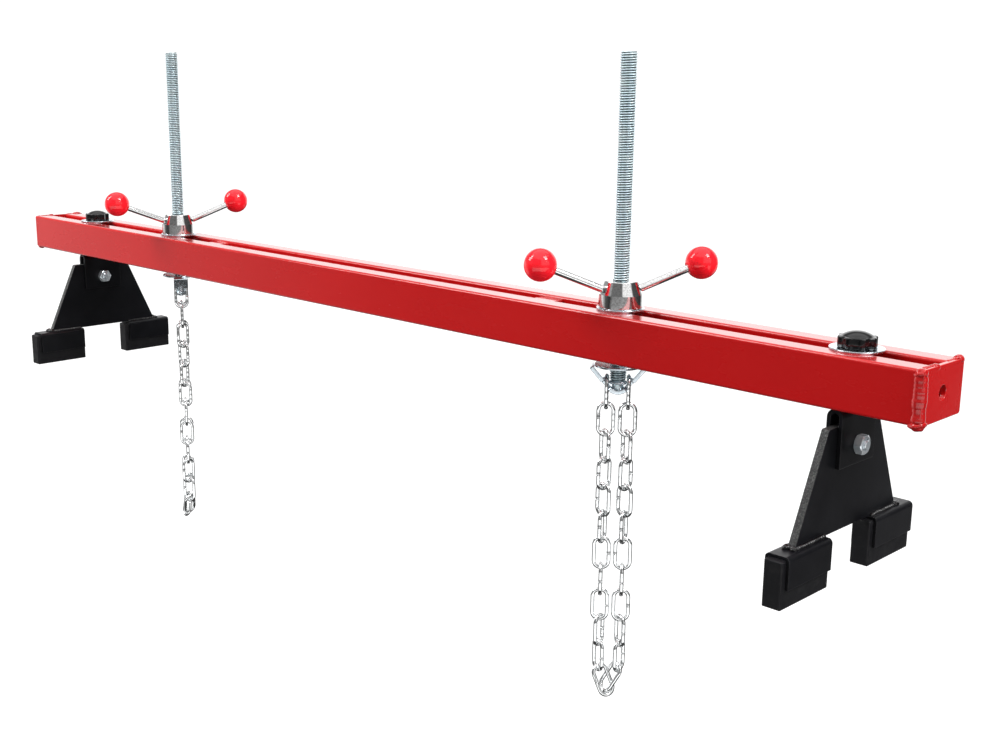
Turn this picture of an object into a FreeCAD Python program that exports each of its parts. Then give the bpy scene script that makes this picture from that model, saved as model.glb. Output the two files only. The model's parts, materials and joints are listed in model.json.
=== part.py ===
import FreeCAD, Part
import math
import os

# Two-hook engine support bar: a twin-rail beam that stands on two tilting feet and
# carries two screw-jack lifting units with chains.
# Millimetres. X runs along the beam (the "right" end is +X), Y across it, Z up.
# Origin: middle of the beam's length and width, on the rails' top face.

Vec = FreeCAD.Vector
X_DIR = Vec(1, 0, 0)
Y_DIR = Vec(0, 1, 0)
Z_DIR = Vec(0, 0, 1)

# ---- beam ----
BEAM_LENGTH = 1550.0
RAIL_HEIGHT = 50.0
RAIL_WIDTH = 25.0
RAIL_WALL = 2.0
RAIL_CORNER_R = 3.0
SLOT_WIDTH = 25.0
BEAM_WIDTH = 2 * RAIL_WIDTH + SLOT_WIDTH
END_PLATE_T = 5.0
END_HOLE_D = 13.0
SPACER_X = 315.0
SPACER_LENGTH = 30.0
SPACER_HEIGHT = 44.0

# ---- lifting units ----
LIFT_X = {"left": -408.6, "right": 420.2}
LEVER_AZIMUTH = {"left": 70.0, "right": 55.0}
SADDLE_AZIMUTH = {"left": -32.0, "right": 38.5}
RUNNING_CLEARANCE = 0.05
OVERCUT = 1.0
SCREW_D = 18.0
SCREW_TOP_Z = 260.0
SCREW_SPIGOT_D = 12.0
SCREW_SPIGOT_INSET = 1.0
SCREW_SHOULDER_GAP = 0.1
SCREW_CHAMFER = 1.5
WASHER_BORE_D = 19.0
THRUST_WASHER_D = 50.0
THRUST_WASHER_T = 2.5
NUT_D = 46.0
NUT_TOP_D = 36.0
NUT_CYLINDER_H = 14.0
NUT_CONE_H = 14.0
NUT_TOP_CHAMFER = 1.0
LEVER_D = 8.0
LEVER_ROOT_R = 12.0
BALL_D = 34.5
BALL_CENTRE_R = 86.0
BALL_CENTRE_Z = 47.5
LEVER_IN_BALL = 14.0
LEVER_ENTRY_R = 21.0
LEVER_ENTRY_Z = 21.9

# ---- chain saddle ----
SADDLE_T = 4.5
SADDLE_WIDTH = 20.0
SADDLE_INNER_R = 10.0
SADDLE_INNER_BOTTOM_Z = -84.5
SADDLE_ARM_ANGLE = 50.0
SADDLE_ARM_REACH = 26.5
SADDLE_NECK_WIDTH = 8.0
SADDLE_NECK_START = 8.2
SADDLE_NECK_END = 15.6
SADDLE_NOTCH_R = 1.5
SADDLE_WASHER_Z = -60.1

# ---- chain ----
CHAIN_WIRE_D = 4.5
CHAIN_LINK_INNER_L = 30.0
CHAIN_LINK_INNER_W = 11.5
CHAIN_GAP = 0.1
CHAIN_STRAND_OFFSET = 11.5
CHAIN_TOP_WIRE_Z = -70.6
CHAIN_UPPER_LINKS = range(2, 8)
CHAIN_LOWER_LINKS = range(8, 12)
# Degrees that each strand's links 1 to 11 are turned beyond the square alternation, as
# a slack chain hangs. The seventh links lie in the saddle's plane, so the chain can fold
# about their lower wires.
CHAIN_DRIFT = {
    -1: (0, 0, 30, 44, 50, 70, 90, 90, 90, 62, 33.75),
    1: (0, 0, 30, 46, 56, 72, 90, 90, 92, 119, 146.25),
}
# The two closing links, by strand: turn from the square position, lean towards the
# other strand, lean out of the saddle's plane, slack lift and sideways offset.
CLOSING_LINKS = {
    -1: {"turn": 28.0, "lean": 22.6, "tip": -9.2, "lift": 0.4, "offset": -1.0},
    1: {"turn": -52.0, "lean": -29.6, "tip": 0.0, "lift": 2.1, "offset": -0.25},
}

# ---- feet ----
FOOT_X = {"left": -642.0, "right": 691.5}
STUD_D = 8.0
STUD_TOP_Z = 11.0
STUD_BOTTOM_Z = -56.5
FOOT_WASHER_D = 50.0
FOOT_WASHER_T = 2.0
FOOT_WASHER_BORE_D = 9.0
KNOB_D = 36.0
KNOB_SKIRT_H = 10.5
KNOB_DOME_H = 4.5
KNOB_DOME_INSET = 3.0
KNOB_FLUTES = 8
KNOB_FLUTE_D = 20.0
KNOB_FLUTE_DEPTH = 1.3
KNOB_BORE_DEPTH = 10.0
CLEVIS_T = 4.0
CLEVIS_GAP = 8.4
CLEVIS_WIDTH = 61.0
CLEVIS_BOTTOM_Z = -105.0
PIVOT_Z = -86.0
PIVOT_D = 10.0
HEX_AF = 17.0
HEX_BEVEL = 1.2
HEX_FACE_INSET = 0.4
PIVOT_NUT_H = 8.0
PIVOT_HEAD_H = 6.4
PIVOT_SIDE_GAP = 0.05
PIVOT_END_BEYOND_NUT = 2.0
PIVOT_TIP = 1.0
PIVOT_BORE_HALF = 50.0
PLATE_T = 8.0
PLATE_TOP_Z = -66.0
PLATE_BOTTOM_Z = -166.0
PLATE_TOP_HALF = 45.0
PLATE_BOTTOM_HALF = 90.0
CHANNEL_T = 3.0
CHANNEL_WIDTH = 25.0
CHANNEL_HEIGHT = 30.0
CHANNEL_INNER_Y = 40.0
CHANNEL_LENGTH = 72.0
CHANNEL_CORNER_R = 4.5
PAD_LENGTH = 80.0
PAD_SHIFT_Y = -2.5
PAD_BOTTOM_Z = -214.0
PAD_FIT_GAP = 0.1
PAD_EDGE_R = 2.0

SIDES = ("left", "right")


def save(shape, name):
    shape.exportStep("parts/%s.step" % name)


def cylinder(diameter, z0, z1, x=0.0, y=0.0):
    return Part.makeCylinder(diameter / 2, z1 - z0, Vec(x, y, z0), Z_DIR)


def box(x0, x1, y0, y1, z0, z1):
    return Part.makeBox(x1 - x0, y1 - y0, z1 - z0, Vec(x0, y0, z0))


def ring(outer_d, inner_d, z0, z1):
    return cylinder(outer_d, z0, z1).cut(cylinder(inner_d, z0 - OVERCUT, z1 + OVERCUT))


def revolved(points):
    """Solid of revolution about Z from (radius, z) points."""
    outline = [Vec(r, 0, z) for r, z in points]
    face = Part.Face(Part.makePolygon(outline + [outline[0]]))
    return face.revolve(Vec(0, 0, 0), Z_DIR, 360)


def edges_along(shape, direction):
    """Straight edges parallel to a direction."""
    found = []
    for edge in shape.Edges:
        if isinstance(edge.Curve, Part.Line):
            if abs(abs(edge.Curve.Direction.dot(direction)) - 1) < 1e-6:
                found.append(edge)
    return found


def rounded_along(shape, direction, radius):
    return shape.makeFillet(radius, edges_along(shape, direction))


def placed(shape, x, azimuth=0.0):
    """Copy of a shape built around the Z axis, turned and moved to its station."""
    moved = shape.copy()
    moved.rotate(Vec(0, 0, 0), Z_DIR, azimuth)
    moved.translate(Vec(x, 0, 0))
    return moved


# ---------------------------------------------------------------- beam

def rail(side_sign):
    """One rectangular tube, hollow along its whole length."""
    half_length = BEAM_LENGTH / 2 - END_PLATE_T
    inner_y = side_sign * SLOT_WIDTH / 2
    outer_y = side_sign * BEAM_WIDTH / 2
    y0 = min(inner_y, outer_y)
    y1 = max(inner_y, outer_y)
    outer = box(-half_length, half_length, y0, y1, -RAIL_HEIGHT, 0)
    outer = rounded_along(outer, X_DIR, RAIL_CORNER_R)
    w = RAIL_WALL
    hollow = box(-half_length, half_length, y0 + w, y1 - w, w - RAIL_HEIGHT, -w)
    hollow = rounded_along(hollow, X_DIR, RAIL_CORNER_R - w)
    return outer.cut(hollow)


def end_plate(side):
    half = BEAM_LENGTH / 2
    y = BEAM_WIDTH / 2
    plate = box(half - END_PLATE_T, half, -y, y, -RAIL_HEIGHT, 0)
    plate = rounded_along(plate, X_DIR, RAIL_CORNER_R)
    hole_start = Vec(half - 2 * END_PLATE_T, 0, -RAIL_HEIGHT / 2)
    plate = plate.cut(Part.makeCylinder(END_HOLE_D / 2, 3 * END_PLATE_T, hole_start, X_DIR))
    if side == "left":
        plate = placed(plate, 0, 180)
    return plate


def slot_spacer(side):
    """Block welded between the rails; it holds the slot open and stops the lift unit."""
    x = SPACER_X if side == "right" else -SPACER_X
    half = SPACER_LENGTH / 2
    y = SLOT_WIDTH / 2
    margin = (RAIL_HEIGHT - SPACER_HEIGHT) / 2
    return box(x - half, x + half, -y, y, margin - RAIL_HEIGHT, -margin)


# ---------------------------------------------------------------- lifting unit

def thrust_washer():
    return ring(THRUST_WASHER_D, WASHER_BORE_D, 0, THRUST_WASHER_T)


def lever_axis():
    """Unit vector along a lever, from the hub outwards, in the XZ plane."""
    run = BALL_CENTRE_R - LEVER_ENTRY_R
    rise = BALL_CENTRE_Z - LEVER_ENTRY_Z
    return Vec(run, 0, rise).normalize()


def lever_rod(diameter):
    axis = lever_axis()
    slope = axis.z / axis.x
    root = Vec(LEVER_ROOT_R, 0, LEVER_ENTRY_Z - (LEVER_ENTRY_R - LEVER_ROOT_R) * slope)
    to_centre = (Vec(BALL_CENTRE_R, 0, BALL_CENTRE_Z) - root).Length
    length = to_centre - BALL_D / 2 + LEVER_IN_BALL
    return Part.makeCylinder(diameter / 2, length, root, axis)


def both_ends(shape):
    """A shape and its copy on the opposite side of the hub."""
    return [shape, placed(shape, 0, 180)]


def hand_nut():
    """Cylinder with a conical top, bored for the screw and socketed for the levers."""
    z0 = THRUST_WASHER_T
    z1 = z0 + NUT_CYLINDER_H
    z2 = z1 + NUT_CONE_H
    r_top = NUT_TOP_D / 2
    r_bore = SCREW_D / 2 + RUNNING_CLEARANCE
    c = NUT_TOP_CHAMFER
    profile = [(r_bore, z0), (NUT_D / 2, z0), (NUT_D / 2, z1)]
    profile += [(r_top + c * (NUT_D - NUT_TOP_D) / 2 / NUT_CONE_H, z2 - c), (r_top - c, z2)]
    profile += [(r_bore + c, z2), (r_bore, z2 - c)]
    nut = revolved(profile)
    for socket in both_ends(lever_rod(LEVER_D + 2 * RUNNING_CLEARANCE)):
        nut = nut.cut(socket)
    return nut


def lever_rods():
    return Part.makeCompound(both_ends(lever_rod(LEVER_D)))


def ball_knobs():
    ball = Part.makeSphere(BALL_D / 2, Vec(BALL_CENTRE_R, 0, BALL_CENTRE_Z))
    ball = ball.cut(lever_rod(LEVER_D + 2 * RUNNING_CLEARANCE))
    return Part.makeCompound(both_ends(ball))


def lift_screw():
    """Screw rod at its thread's outside diameter, with a spigot fixed in the saddle."""
    r = SCREW_D / 2
    c = SCREW_CHAMFER
    shoulder_z = saddle_inner_z(r) + SCREW_SHOULDER_GAP
    spigot_r = SCREW_SPIGOT_D / 2
    end_z = SADDLE_INNER_BOTTOM_Z - SADDLE_T + SCREW_SPIGOT_INSET
    profile = [(0, end_z), (spigot_r, end_z), (spigot_r, shoulder_z), (r, shoulder_z)]
    profile += [(r, SCREW_TOP_Z - c), (r - c, SCREW_TOP_Z), (0, SCREW_TOP_Z)]
    return revolved(profile)


# ---------------------------------------------------------------- chain saddle

def saddle_inner_z(s):
    """Height of the saddle's inner surface at a distance s from the screw's axis."""
    angle = math.radians(SADDLE_ARM_ANGLE)
    arc_end = SADDLE_INNER_R * math.sin(angle)
    if s < arc_end:
        depth = SADDLE_INNER_R - math.sqrt(SADDLE_INNER_R ** 2 - s ** 2)
        return SADDLE_INNER_BOTTOM_Z + depth
    arc_rise = SADDLE_INNER_R * (1 - math.cos(angle))
    return SADDLE_INNER_BOTTOM_Z + arc_rise + (s - arc_end) * math.tan(angle)


def saddle_outline():
    """Closed outline of the bent bar in the XZ plane."""
    angle = math.radians(SADDLE_ARM_ANGLE)
    centre_z = SADDLE_INNER_BOTTOM_Z + SADDLE_INNER_R
    outer_r = SADDLE_INNER_R + SADDLE_T

    def on_arc(radius, turn):
        return Vec(radius * math.sin(turn), 0, centre_z - radius * math.cos(turn))

    tip_in = Vec(SADDLE_ARM_REACH, 0, saddle_inner_z(SADDLE_ARM_REACH))
    across = Vec(math.sin(angle), 0, -math.cos(angle)) * SADDLE_T
    tip_out = tip_in + across
    mirror = lambda p: Vec(-p.x, 0, p.z)
    inner = Part.Arc(on_arc(SADDLE_INNER_R, -angle), on_arc(SADDLE_INNER_R, 0),
                     on_arc(SADDLE_INNER_R, angle))
    outer = Part.Arc(on_arc(outer_r, -angle), on_arc(outer_r, 0), on_arc(outer_r, angle))
    edges = [inner.toShape(), outer.toShape()]
    for flip in (lambda p: p, mirror):
        edges.append(Part.makeLine(flip(on_arc(SADDLE_INNER_R, angle)), flip(tip_in)))
        edges.append(Part.makeLine(flip(tip_in), flip(tip_out)))
        edges.append(Part.makeLine(flip(tip_out), flip(on_arc(outer_r, angle))))
    return Part.Wire(Part.__sortEdges__(edges))


def chain_saddle():
    """Flat bar bent to a V, with a notched neck in each arm that holds a chain link."""
    face = Part.Face(saddle_outline())
    bar = face.extrude(Vec(0, SADDLE_WIDTH, 0))
    bar.translate(Vec(0, -SADDLE_WIDTH / 2, 0))
    low = SADDLE_INNER_BOTTOM_Z - 2 * SADDLE_T
    high = saddle_inner_z(SADDLE_ARM_REACH)
    bar = bar.cut(cylinder(SCREW_SPIGOT_D + 2 * RUNNING_CLEARANCE, low, high))
    for side in (-1, 1):
        for edge in (-1, 1):
            x = sorted((side * SADDLE_NECK_START, side * SADDLE_NECK_END))
            y = sorted((edge * SADDLE_NECK_WIDTH / 2, edge * SADDLE_WIDTH))
            notch = box(x[0], x[1], y[0], y[1], low, high)
            bar = bar.cut(rounded_along(notch, Z_DIR, SADDLE_NOTCH_R))
    return bar


def saddle_washer():
    top = SADDLE_WASHER_Z + THRUST_WASHER_T
    return ring(THRUST_WASHER_D, WASHER_BORE_D, SADDLE_WASHER_Z, top)


# ---------------------------------------------------------------- chain

LINK_R = (CHAIN_LINK_INNER_W + CHAIN_WIRE_D) / 2
LINK_LENGTH = CHAIN_LINK_INNER_L + CHAIN_WIRE_D
LINK_PITCH = LINK_LENGTH - CHAIN_WIRE_D - CHAIN_GAP


def chain_link(twist, lean=0.0):
    """Link hanging from the centre of its top wire at the origin.

    At twist 0 the link lies in the YZ plane, square to the saddle's spread; at 90
    degrees it lies in the XZ plane. lean swings its lower end towards +X.
    """
    straight = LINK_LENGTH - 2 * LINK_R
    r = LINK_R
    top_c = -r
    low_c = -r - straight
    top = Part.Arc(Vec(0, -r, top_c), Vec(0, 0, 0), Vec(0, r, top_c)).toShape()
    low = Part.Arc(Vec(0, r, low_c), Vec(0, 0, low_c - r), Vec(0, -r, low_c)).toShape()
    right = Part.makeLine(Vec(0, r, top_c), Vec(0, r, low_c))
    left = Part.makeLine(Vec(0, -r, low_c), Vec(0, -r, top_c))
    path = Part.Wire([top, right, low, left])
    section = Part.Wire(Part.makeCircle(CHAIN_WIRE_D / 2, Vec(0, -r, top_c), Z_DIR))
    link = path.makePipeShell([section], True, False)
    link.rotate(Vec(0, 0, 0), Z_DIR, twist)
    link.rotate(Vec(0, 0, 0), Y_DIR, -lean)
    return link


def link_top_z(number):
    return CHAIN_TOP_WIRE_Z - (number - 1) * LINK_PITCH


def link_twist(number, strand):
    """Links alternate by a quarter turn, plus the strand's own drift."""
    return 90.0 * (number - 1) + CHAIN_DRIFT[strand][number - 1]


def chain_links(numbers):
    """The same links of both strands, one strand on each arm of the saddle."""
    links = []
    for number in numbers:
        for strand in (-1, 1):
            link = chain_link(link_twist(number, strand))
            link.translate(Vec(strand * CHAIN_STRAND_OFFSET, 0, link_top_z(number)))
            links.append(link)
    return links


def closing_links():
    """The two lowest links, leaning together and hooked through each other."""
    number = CHAIN_LOWER_LINKS[-1] + 1
    links = []
    for strand, pose in CLOSING_LINKS.items():
        link = chain_link(90.0 * (number - 1) + pose["turn"], pose["lean"])
        link.rotate(Vec(0, 0, 0), X_DIR, pose["tip"])
        top_z = link_top_z(number) + pose["lift"]
        link.translate(Vec(strand * CHAIN_STRAND_OFFSET, pose["offset"], top_z))
        links.append(link)
    return links


# ---------------------------------------------------------------- feet

def foot_washer():
    return ring(FOOT_WASHER_D, FOOT_WASHER_BORE_D, 0, FOOT_WASHER_T)


def star_knob():
    """Fluted knob with a shallow dome, screwed onto the stud."""
    z0 = FOOT_WASHER_T
    z1 = z0 + KNOB_SKIRT_H
    r = KNOB_D / 2
    knob = cylinder(KNOB_D, z0, z1)
    dome_base_r = r - KNOB_DOME_INSET
    sphere_r = (dome_base_r ** 2 + KNOB_DOME_H ** 2) / (2 * KNOB_DOME_H)
    dome = Part.makeSphere(sphere_r, Vec(0, 0, z1 + KNOB_DOME_H - sphere_r))
    dome = dome.common(cylinder(2 * dome_base_r, z1, z1 + KNOB_DOME_H + OVERCUT))
    knob = knob.fuse(dome).removeSplitter()
    flute_r = r + KNOB_FLUTE_D / 2 - KNOB_FLUTE_DEPTH
    for i in range(KNOB_FLUTES):
        turn = 2 * math.pi * (i + 0.5) / KNOB_FLUTES
        x = flute_r * math.cos(turn)
        y = flute_r * math.sin(turn)
        knob = knob.cut(cylinder(KNOB_FLUTE_D, z0 - OVERCUT, z1 + OVERCUT, x, y))
    bore = cylinder(STUD_D + 2 * RUNNING_CLEARANCE, z0 - OVERCUT, z0 + KNOB_BORE_DEPTH)
    return knob.cut(bore)


def clamp_stud():
    return cylinder(STUD_D, STUD_BOTTOM_Z, STUD_TOP_Z)


def arch(outer_half, thickness, top_z, bottom_z, y0, y1):
    """Flat strip bent over a half-round top, open below, running along Y."""
    def solid(half, top):
        centre_z = top - half
        body = box(-half, half, y0, y1, bottom_z, centre_z)
        crown = Part.makeCylinder(half, y1 - y0, Vec(0, y0, centre_z), Y_DIR)
        return body.fuse(crown).removeSplitter()
    return solid(outer_half, top_z).cut(solid(outer_half - thickness, top_z - thickness))


def clevis():
    half = CLEVIS_GAP / 2 + CLEVIS_T
    strap = arch(half, CLEVIS_T, -RAIL_HEIGHT, CLEVIS_BOTTOM_Z,
                 -CLEVIS_WIDTH / 2, CLEVIS_WIDTH / 2)
    strap = strap.cut(cylinder(STUD_D + 2 * RUNNING_CLEARANCE, STUD_BOTTOM_Z - OVERCUT, 0))
    return strap.cut(pivot_hole())


def pivot_hole():
    radius = PIVOT_D / 2 + RUNNING_CLEARANCE
    start = Vec(-PIVOT_BORE_HALF, 0, PIVOT_Z)
    return Part.makeCylinder(radius, 2 * PIVOT_BORE_HALF, start, X_DIR)


def hexagon_prism(x0, height):
    """Hexagonal prism along X with two corners up and down, and the round that bevels it."""
    corner_r = HEX_AF / math.sqrt(3)
    points = []
    for i in range(7):
        turn = math.radians(60 * i)
        points.append(Vec(x0, corner_r * math.sin(turn), PIVOT_Z + corner_r * math.cos(turn)))
    prism = Part.Face(Part.makePolygon(points)).extrude(Vec(height, 0, 0))
    straight = height - HEX_BEVEL
    face_r = HEX_AF / 2 - HEX_FACE_INSET
    outer = Part.makeCylinder(corner_r, straight, Vec(0, 0, 0), X_DIR)
    cap = Part.makeCone(corner_r, face_r, HEX_BEVEL, Vec(straight, 0, 0), X_DIR)
    return prism, outer.fuse(cap)


def pivot_nut():
    x0 = CLEVIS_GAP / 2 + CLEVIS_T + PIVOT_SIDE_GAP
    prism, limit = hexagon_prism(x0, PIVOT_NUT_H)
    limit.translate(Vec(x0, 0, PIVOT_Z))
    return prism.common(limit).cut(pivot_hole())


def pivot_bolt():
    side = CLEVIS_GAP / 2 + CLEVIS_T + PIVOT_SIDE_GAP
    prism, limit = hexagon_prism(-side - PIVOT_HEAD_H, PIVOT_HEAD_H)
    limit.rotate(Vec(0, 0, 0), Z_DIR, 180)
    limit.translate(Vec(-side, 0, PIVOT_Z))
    head = prism.common(limit)
    straight = 2 * side + PIVOT_NUT_H + PIVOT_END_BEYOND_NUT - PIVOT_TIP
    r = PIVOT_D / 2
    shank = Part.makeCylinder(r, straight, Vec(-side, 0, PIVOT_Z), X_DIR)
    tip_start = Vec(straight - side, 0, PIVOT_Z)
    tip = Part.makeCone(r, r - PIVOT_TIP, PIVOT_TIP, tip_start, X_DIR)
    return head.fuse(shank).fuse(tip).removeSplitter()


def foot_plate():
    """Trapezoidal plate that tilts on the pivot bolt."""
    x = -PLATE_T / 2
    outline = [Vec(x, -PLATE_TOP_HALF, PLATE_TOP_Z), Vec(x, PLATE_TOP_HALF, PLATE_TOP_Z)]
    outline += [Vec(x, PLATE_BOTTOM_HALF, PLATE_BOTTOM_Z)]
    outline += [Vec(x, -PLATE_BOTTOM_HALF, PLATE_BOTTOM_Z)]
    plate = Part.Face(Part.makePolygon(outline + [outline[0]])).extrude(Vec(PLATE_T, 0, 0))
    return plate.cut(pivot_hole())


def pad_channel(side_sign):
    """Inverted channel, welded under one lower corner of the foot plate."""
    y = sorted((side_sign * CHANNEL_INNER_Y, side_sign * (CHANNEL_INNER_Y + CHANNEL_LENGTH)))
    top = PLATE_BOTTOM_Z
    low = top - CHANNEL_HEIGHT
    half = CHANNEL_WIDTH / 2
    t = CHANNEL_T

    def with_round_shoulders(block, radius):
        shoulders = []
        for edge in edges_along(block, Y_DIR):
            if edge.BoundBox.ZMin > (top + low) / 2:
                shoulders.append(edge)
        return block.makeFillet(radius, shoulders)

    outer = with_round_shoulders(box(-half, half, y[0], y[1], low, top), CHANNEL_CORNER_R)
    hollow = box(t - half, half - t, y[0], y[1], low, top - t)
    return outer.cut(with_round_shoulders(hollow, CHANNEL_CORNER_R - t))


def rubber_pad(side_sign):
    """Rubber block pressed into a channel and standing out below it."""
    centre = side_sign * (CHANNEL_INNER_Y + CHANNEL_LENGTH / 2) + PAD_SHIFT_Y
    half = CHANNEL_WIDTH / 2 - CHANNEL_T - PAD_FIT_GAP
    y0 = centre - PAD_LENGTH / 2
    y1 = centre + PAD_LENGTH / 2
    top = PLATE_BOTTOM_Z - CHANNEL_T - PAD_FIT_GAP
    block = box(-half, half, y0, y1, PAD_BOTTOM_Z, top)
    return rounded_along(block, Y_DIR, PAD_EDGE_R)


# ---------------------------------------------------------------- write the parts

def save_beam():
    save(rail(-1), "front_rail")
    save(rail(1), "rear_rail")
    for side in SIDES:
        save(end_plate(side), "end_plate_" + side)
        save(slot_spacer(side), "slot_spacer_" + side)


def save_lift_unit(side):
    x = LIFT_X[side]
    lever = LEVER_AZIMUTH[side]
    saddle = SADDLE_AZIMUTH[side]
    lower = chain_links(CHAIN_LOWER_LINKS) + closing_links()
    pieces = {
        "thrust_washer": (thrust_washer(), 0),
        "hand_nut": (hand_nut(), lever),
        "lever_rods": (lever_rods(), lever),
        "ball_knobs": (ball_knobs(), lever),
        "lift_screw": (lift_screw(), 0),
        "chain_saddle": (chain_saddle(), saddle),
        "saddle_washer": (saddle_washer(), 0),
        "chain_first_links": (Part.makeCompound(chain_links([1])), saddle),
        "chain_upper": (Part.makeCompound(chain_links(CHAIN_UPPER_LINKS)), saddle),
        "chain_lower": (Part.makeCompound(lower), saddle),
    }
    for name, (shape, azimuth) in pieces.items():
        save(placed(shape, x, azimuth), name + "_" + side)


def save_foot(side):
    x = FOOT_X[side]
    pieces = {
        "foot_washer": foot_washer(),
        "star_knob": star_knob(),
        "clamp_stud": clamp_stud(),
        "clevis": clevis(),
        "pivot_bolt": pivot_bolt(),
        "pivot_nut": pivot_nut(),
        "foot_plate": foot_plate(),
        "pad_channels": Part.makeCompound([pad_channel(-1), pad_channel(1)]),
        "rubber_pads": Part.makeCompound([rubber_pad(-1), rubber_pad(1)]),
    }
    for name, shape in pieces.items():
        save(placed(shape, x), name + "_" + side)


os.makedirs("parts", exist_ok=True)
save_beam()
for station in SIDES:
    save_lift_unit(station)
    save_foot(station)
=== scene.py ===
import json
import math
import random

import bmesh
import bpy
from mathutils import Matrix, Vector, noise


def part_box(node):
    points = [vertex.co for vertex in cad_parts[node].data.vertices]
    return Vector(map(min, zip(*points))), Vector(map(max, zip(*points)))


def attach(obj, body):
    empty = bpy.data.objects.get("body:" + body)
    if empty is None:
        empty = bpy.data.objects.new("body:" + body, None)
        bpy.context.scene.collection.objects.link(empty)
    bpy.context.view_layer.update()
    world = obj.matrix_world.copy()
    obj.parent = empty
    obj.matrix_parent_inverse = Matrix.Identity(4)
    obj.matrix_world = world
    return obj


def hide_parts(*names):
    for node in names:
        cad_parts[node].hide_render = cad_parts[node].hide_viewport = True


# Looks of a two-hook engine support bar. Metres, in the CAD frame: +X along the beam,
# +Y to the rear, +Z up, origin on the rails' top face in the middle of the beam.

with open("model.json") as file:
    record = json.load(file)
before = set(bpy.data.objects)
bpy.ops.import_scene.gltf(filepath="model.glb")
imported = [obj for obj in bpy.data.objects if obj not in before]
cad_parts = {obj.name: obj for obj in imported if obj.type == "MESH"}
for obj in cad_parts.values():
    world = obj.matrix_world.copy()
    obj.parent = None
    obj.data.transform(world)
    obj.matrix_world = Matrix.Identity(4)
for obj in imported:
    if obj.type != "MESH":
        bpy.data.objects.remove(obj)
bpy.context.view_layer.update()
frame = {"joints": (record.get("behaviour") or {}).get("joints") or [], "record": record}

MM = 0.001
SIDES = ("left", "right")
RECORD = frame["record"]
BODY_OF = {n: body for body, nodes in RECORD["behaviour"]["bodies"].items() for n in nodes}

# Sizes that the looks add to the CAD shapes, in metres.
THREAD_LIFT = {"pitch": 2.5 * MM, "depth": 1.53 * MM}
THREAD_M10 = {"pitch": 1.5 * MM, "depth": 0.92 * MM}
# Share of each thread pitch, round its root, that gets the darker zinc painted as shade.
GROOVE = (0.37, 0.83)
THREAD_M8 = {"pitch": 1.25 * MM, "depth": 0.77 * MM}
WIRE_D = 4.5 * MM
LINK_INNER_W = 11.5 * MM
LINK_INNER_L = 30.0 * MM
LINK_GAP = 0.1 * MM


# ------------------------------------------------------------------ mesh helpers

def corners_of(node):
    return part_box(node)


def middle_of(node):
    low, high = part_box(node)
    return (low + high) / 2


def rounded_outline(points, radii, inset=0.0, steps=6):
    """Closed anticlockwise outline with rounded corners, moved inwards by inset.

    points are the sharp corners; radii holds one radius, or one for each corner. The
    number of points is the same at every inset.
    """
    n = len(points)
    if not isinstance(radii, (list, tuple)):
        radii = [radii] * n
    pts = [Vector(p) for p in points]
    outline = []
    for i in range(n):
        before = (pts[i] - pts[i - 1]).normalized()
        after = (pts[(i + 1) % n] - pts[i]).normalized()
        turn = math.atan2(before.cross(after), before.dot(after))
        normal_in = Vector((-before.y, before.x))
        miter = normal_in - before * math.tan(turn / 2)
        corner = pts[i] + miter * inset
        radius = radii[i] - inset if turn > 0 else radii[i] + inset
        radius = max(radius, 0.01 * MM)
        reach = radius * abs(math.tan(turn / 2))
        start = corner - before * reach
        side = 1.0 if turn > 0 else -1.0
        centre = start + normal_in * radius * side
        arm = start - centre
        for k in range(steps + 1):
            a = turn * k / steps
            outline.append((centre.x + arm.x * math.cos(a) - arm.y * math.sin(a),
                            centre.y + arm.x * math.sin(a) + arm.y * math.cos(a)))
    return outline


def circle_outline(radius, count=48, centre=(0.0, 0.0)):
    turns = [2 * math.pi * i / count for i in range(count)]
    return [(centre[0] + radius * math.cos(a), centre[1] + radius * math.sin(a)) for a in turns]


def rounded_levels(low, high, radius, steps=3):
    """(inset, height) pairs of a slab whose two rims are rounded over."""
    levels = []
    for k in range(steps + 1):
        a = math.pi / 2 * k / steps
        levels.append((radius * (1 - math.sin(a)), low + radius * (1 - math.cos(a))))
    for inset, height in reversed(levels[:]):
        levels.append((inset, high - (height - low)))
    return levels


def skin(bm, ring_a, ring_b):
    """Quads between two closed rings with the same number of vertices."""
    n = len(ring_a)
    for i in range(n):
        j = (i + 1) % n
        bm.faces.new((ring_a[i], ring_a[j], ring_b[j], ring_b[i]))


def fan(bm, ring, tip):
    n = len(ring)
    for i in range(n):
        bm.faces.new((ring[i], ring[(i + 1) % n], tip))


def slab(bm, loops_at, levels, place):
    """Closed slab. loops_at(inset) gives its outlines, outer first; place(u, v, h) is a point."""
    rows = []
    for inset, height in levels:
        row = []
        for loop in loops_at(inset):
            row.append([bm.verts.new(place(u, v, height)) for u, v in loop])
        rows.append(row)
    for row_a, row_b in zip(rows, rows[1:]):
        for loop_a, loop_b in zip(row_a, row_b):
            skin(bm, loop_a, loop_b)
    for row in (rows[0], rows[-1]):
        if len(row) == 1:
            bm.faces.new(row[0])
        else:
            edges = []
            for loop in row:
                for i, vert in enumerate(loop):
                    edges.append(bm.edges.get((vert, loop[(i + 1) % len(loop)])))
            bmesh.ops.triangle_fill(bm, use_beauty=True, edges=edges)


def lathe(bm, profile, segments=72, place=None):
    """Solid of revolution from a closed (radius, z) profile; points at radius 0 are tips."""
    place = place or (lambda p: p)
    rows = []
    for r, z in profile:
        if r < 1e-6:
            rows.append([bm.verts.new(place(Vector((0, 0, z))))])
            continue
        ring = []
        for i in range(segments):
            a = 2 * math.pi * i / segments
            ring.append(bm.verts.new(place(Vector((r * math.cos(a), r * math.sin(a), z)))))
        rows.append(ring)
    pairs = list(zip(rows, rows[1:]))
    if len(rows[0]) > 1 and len(rows[-1]) > 1:
        pairs.append((rows[-1], rows[0]))
    for a, b in pairs:
        if len(a) == 1:
            fan(bm, b, a[0])
        elif len(b) == 1:
            fan(bm, a, b[0])
        else:
            skin(bm, a, b)


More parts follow.
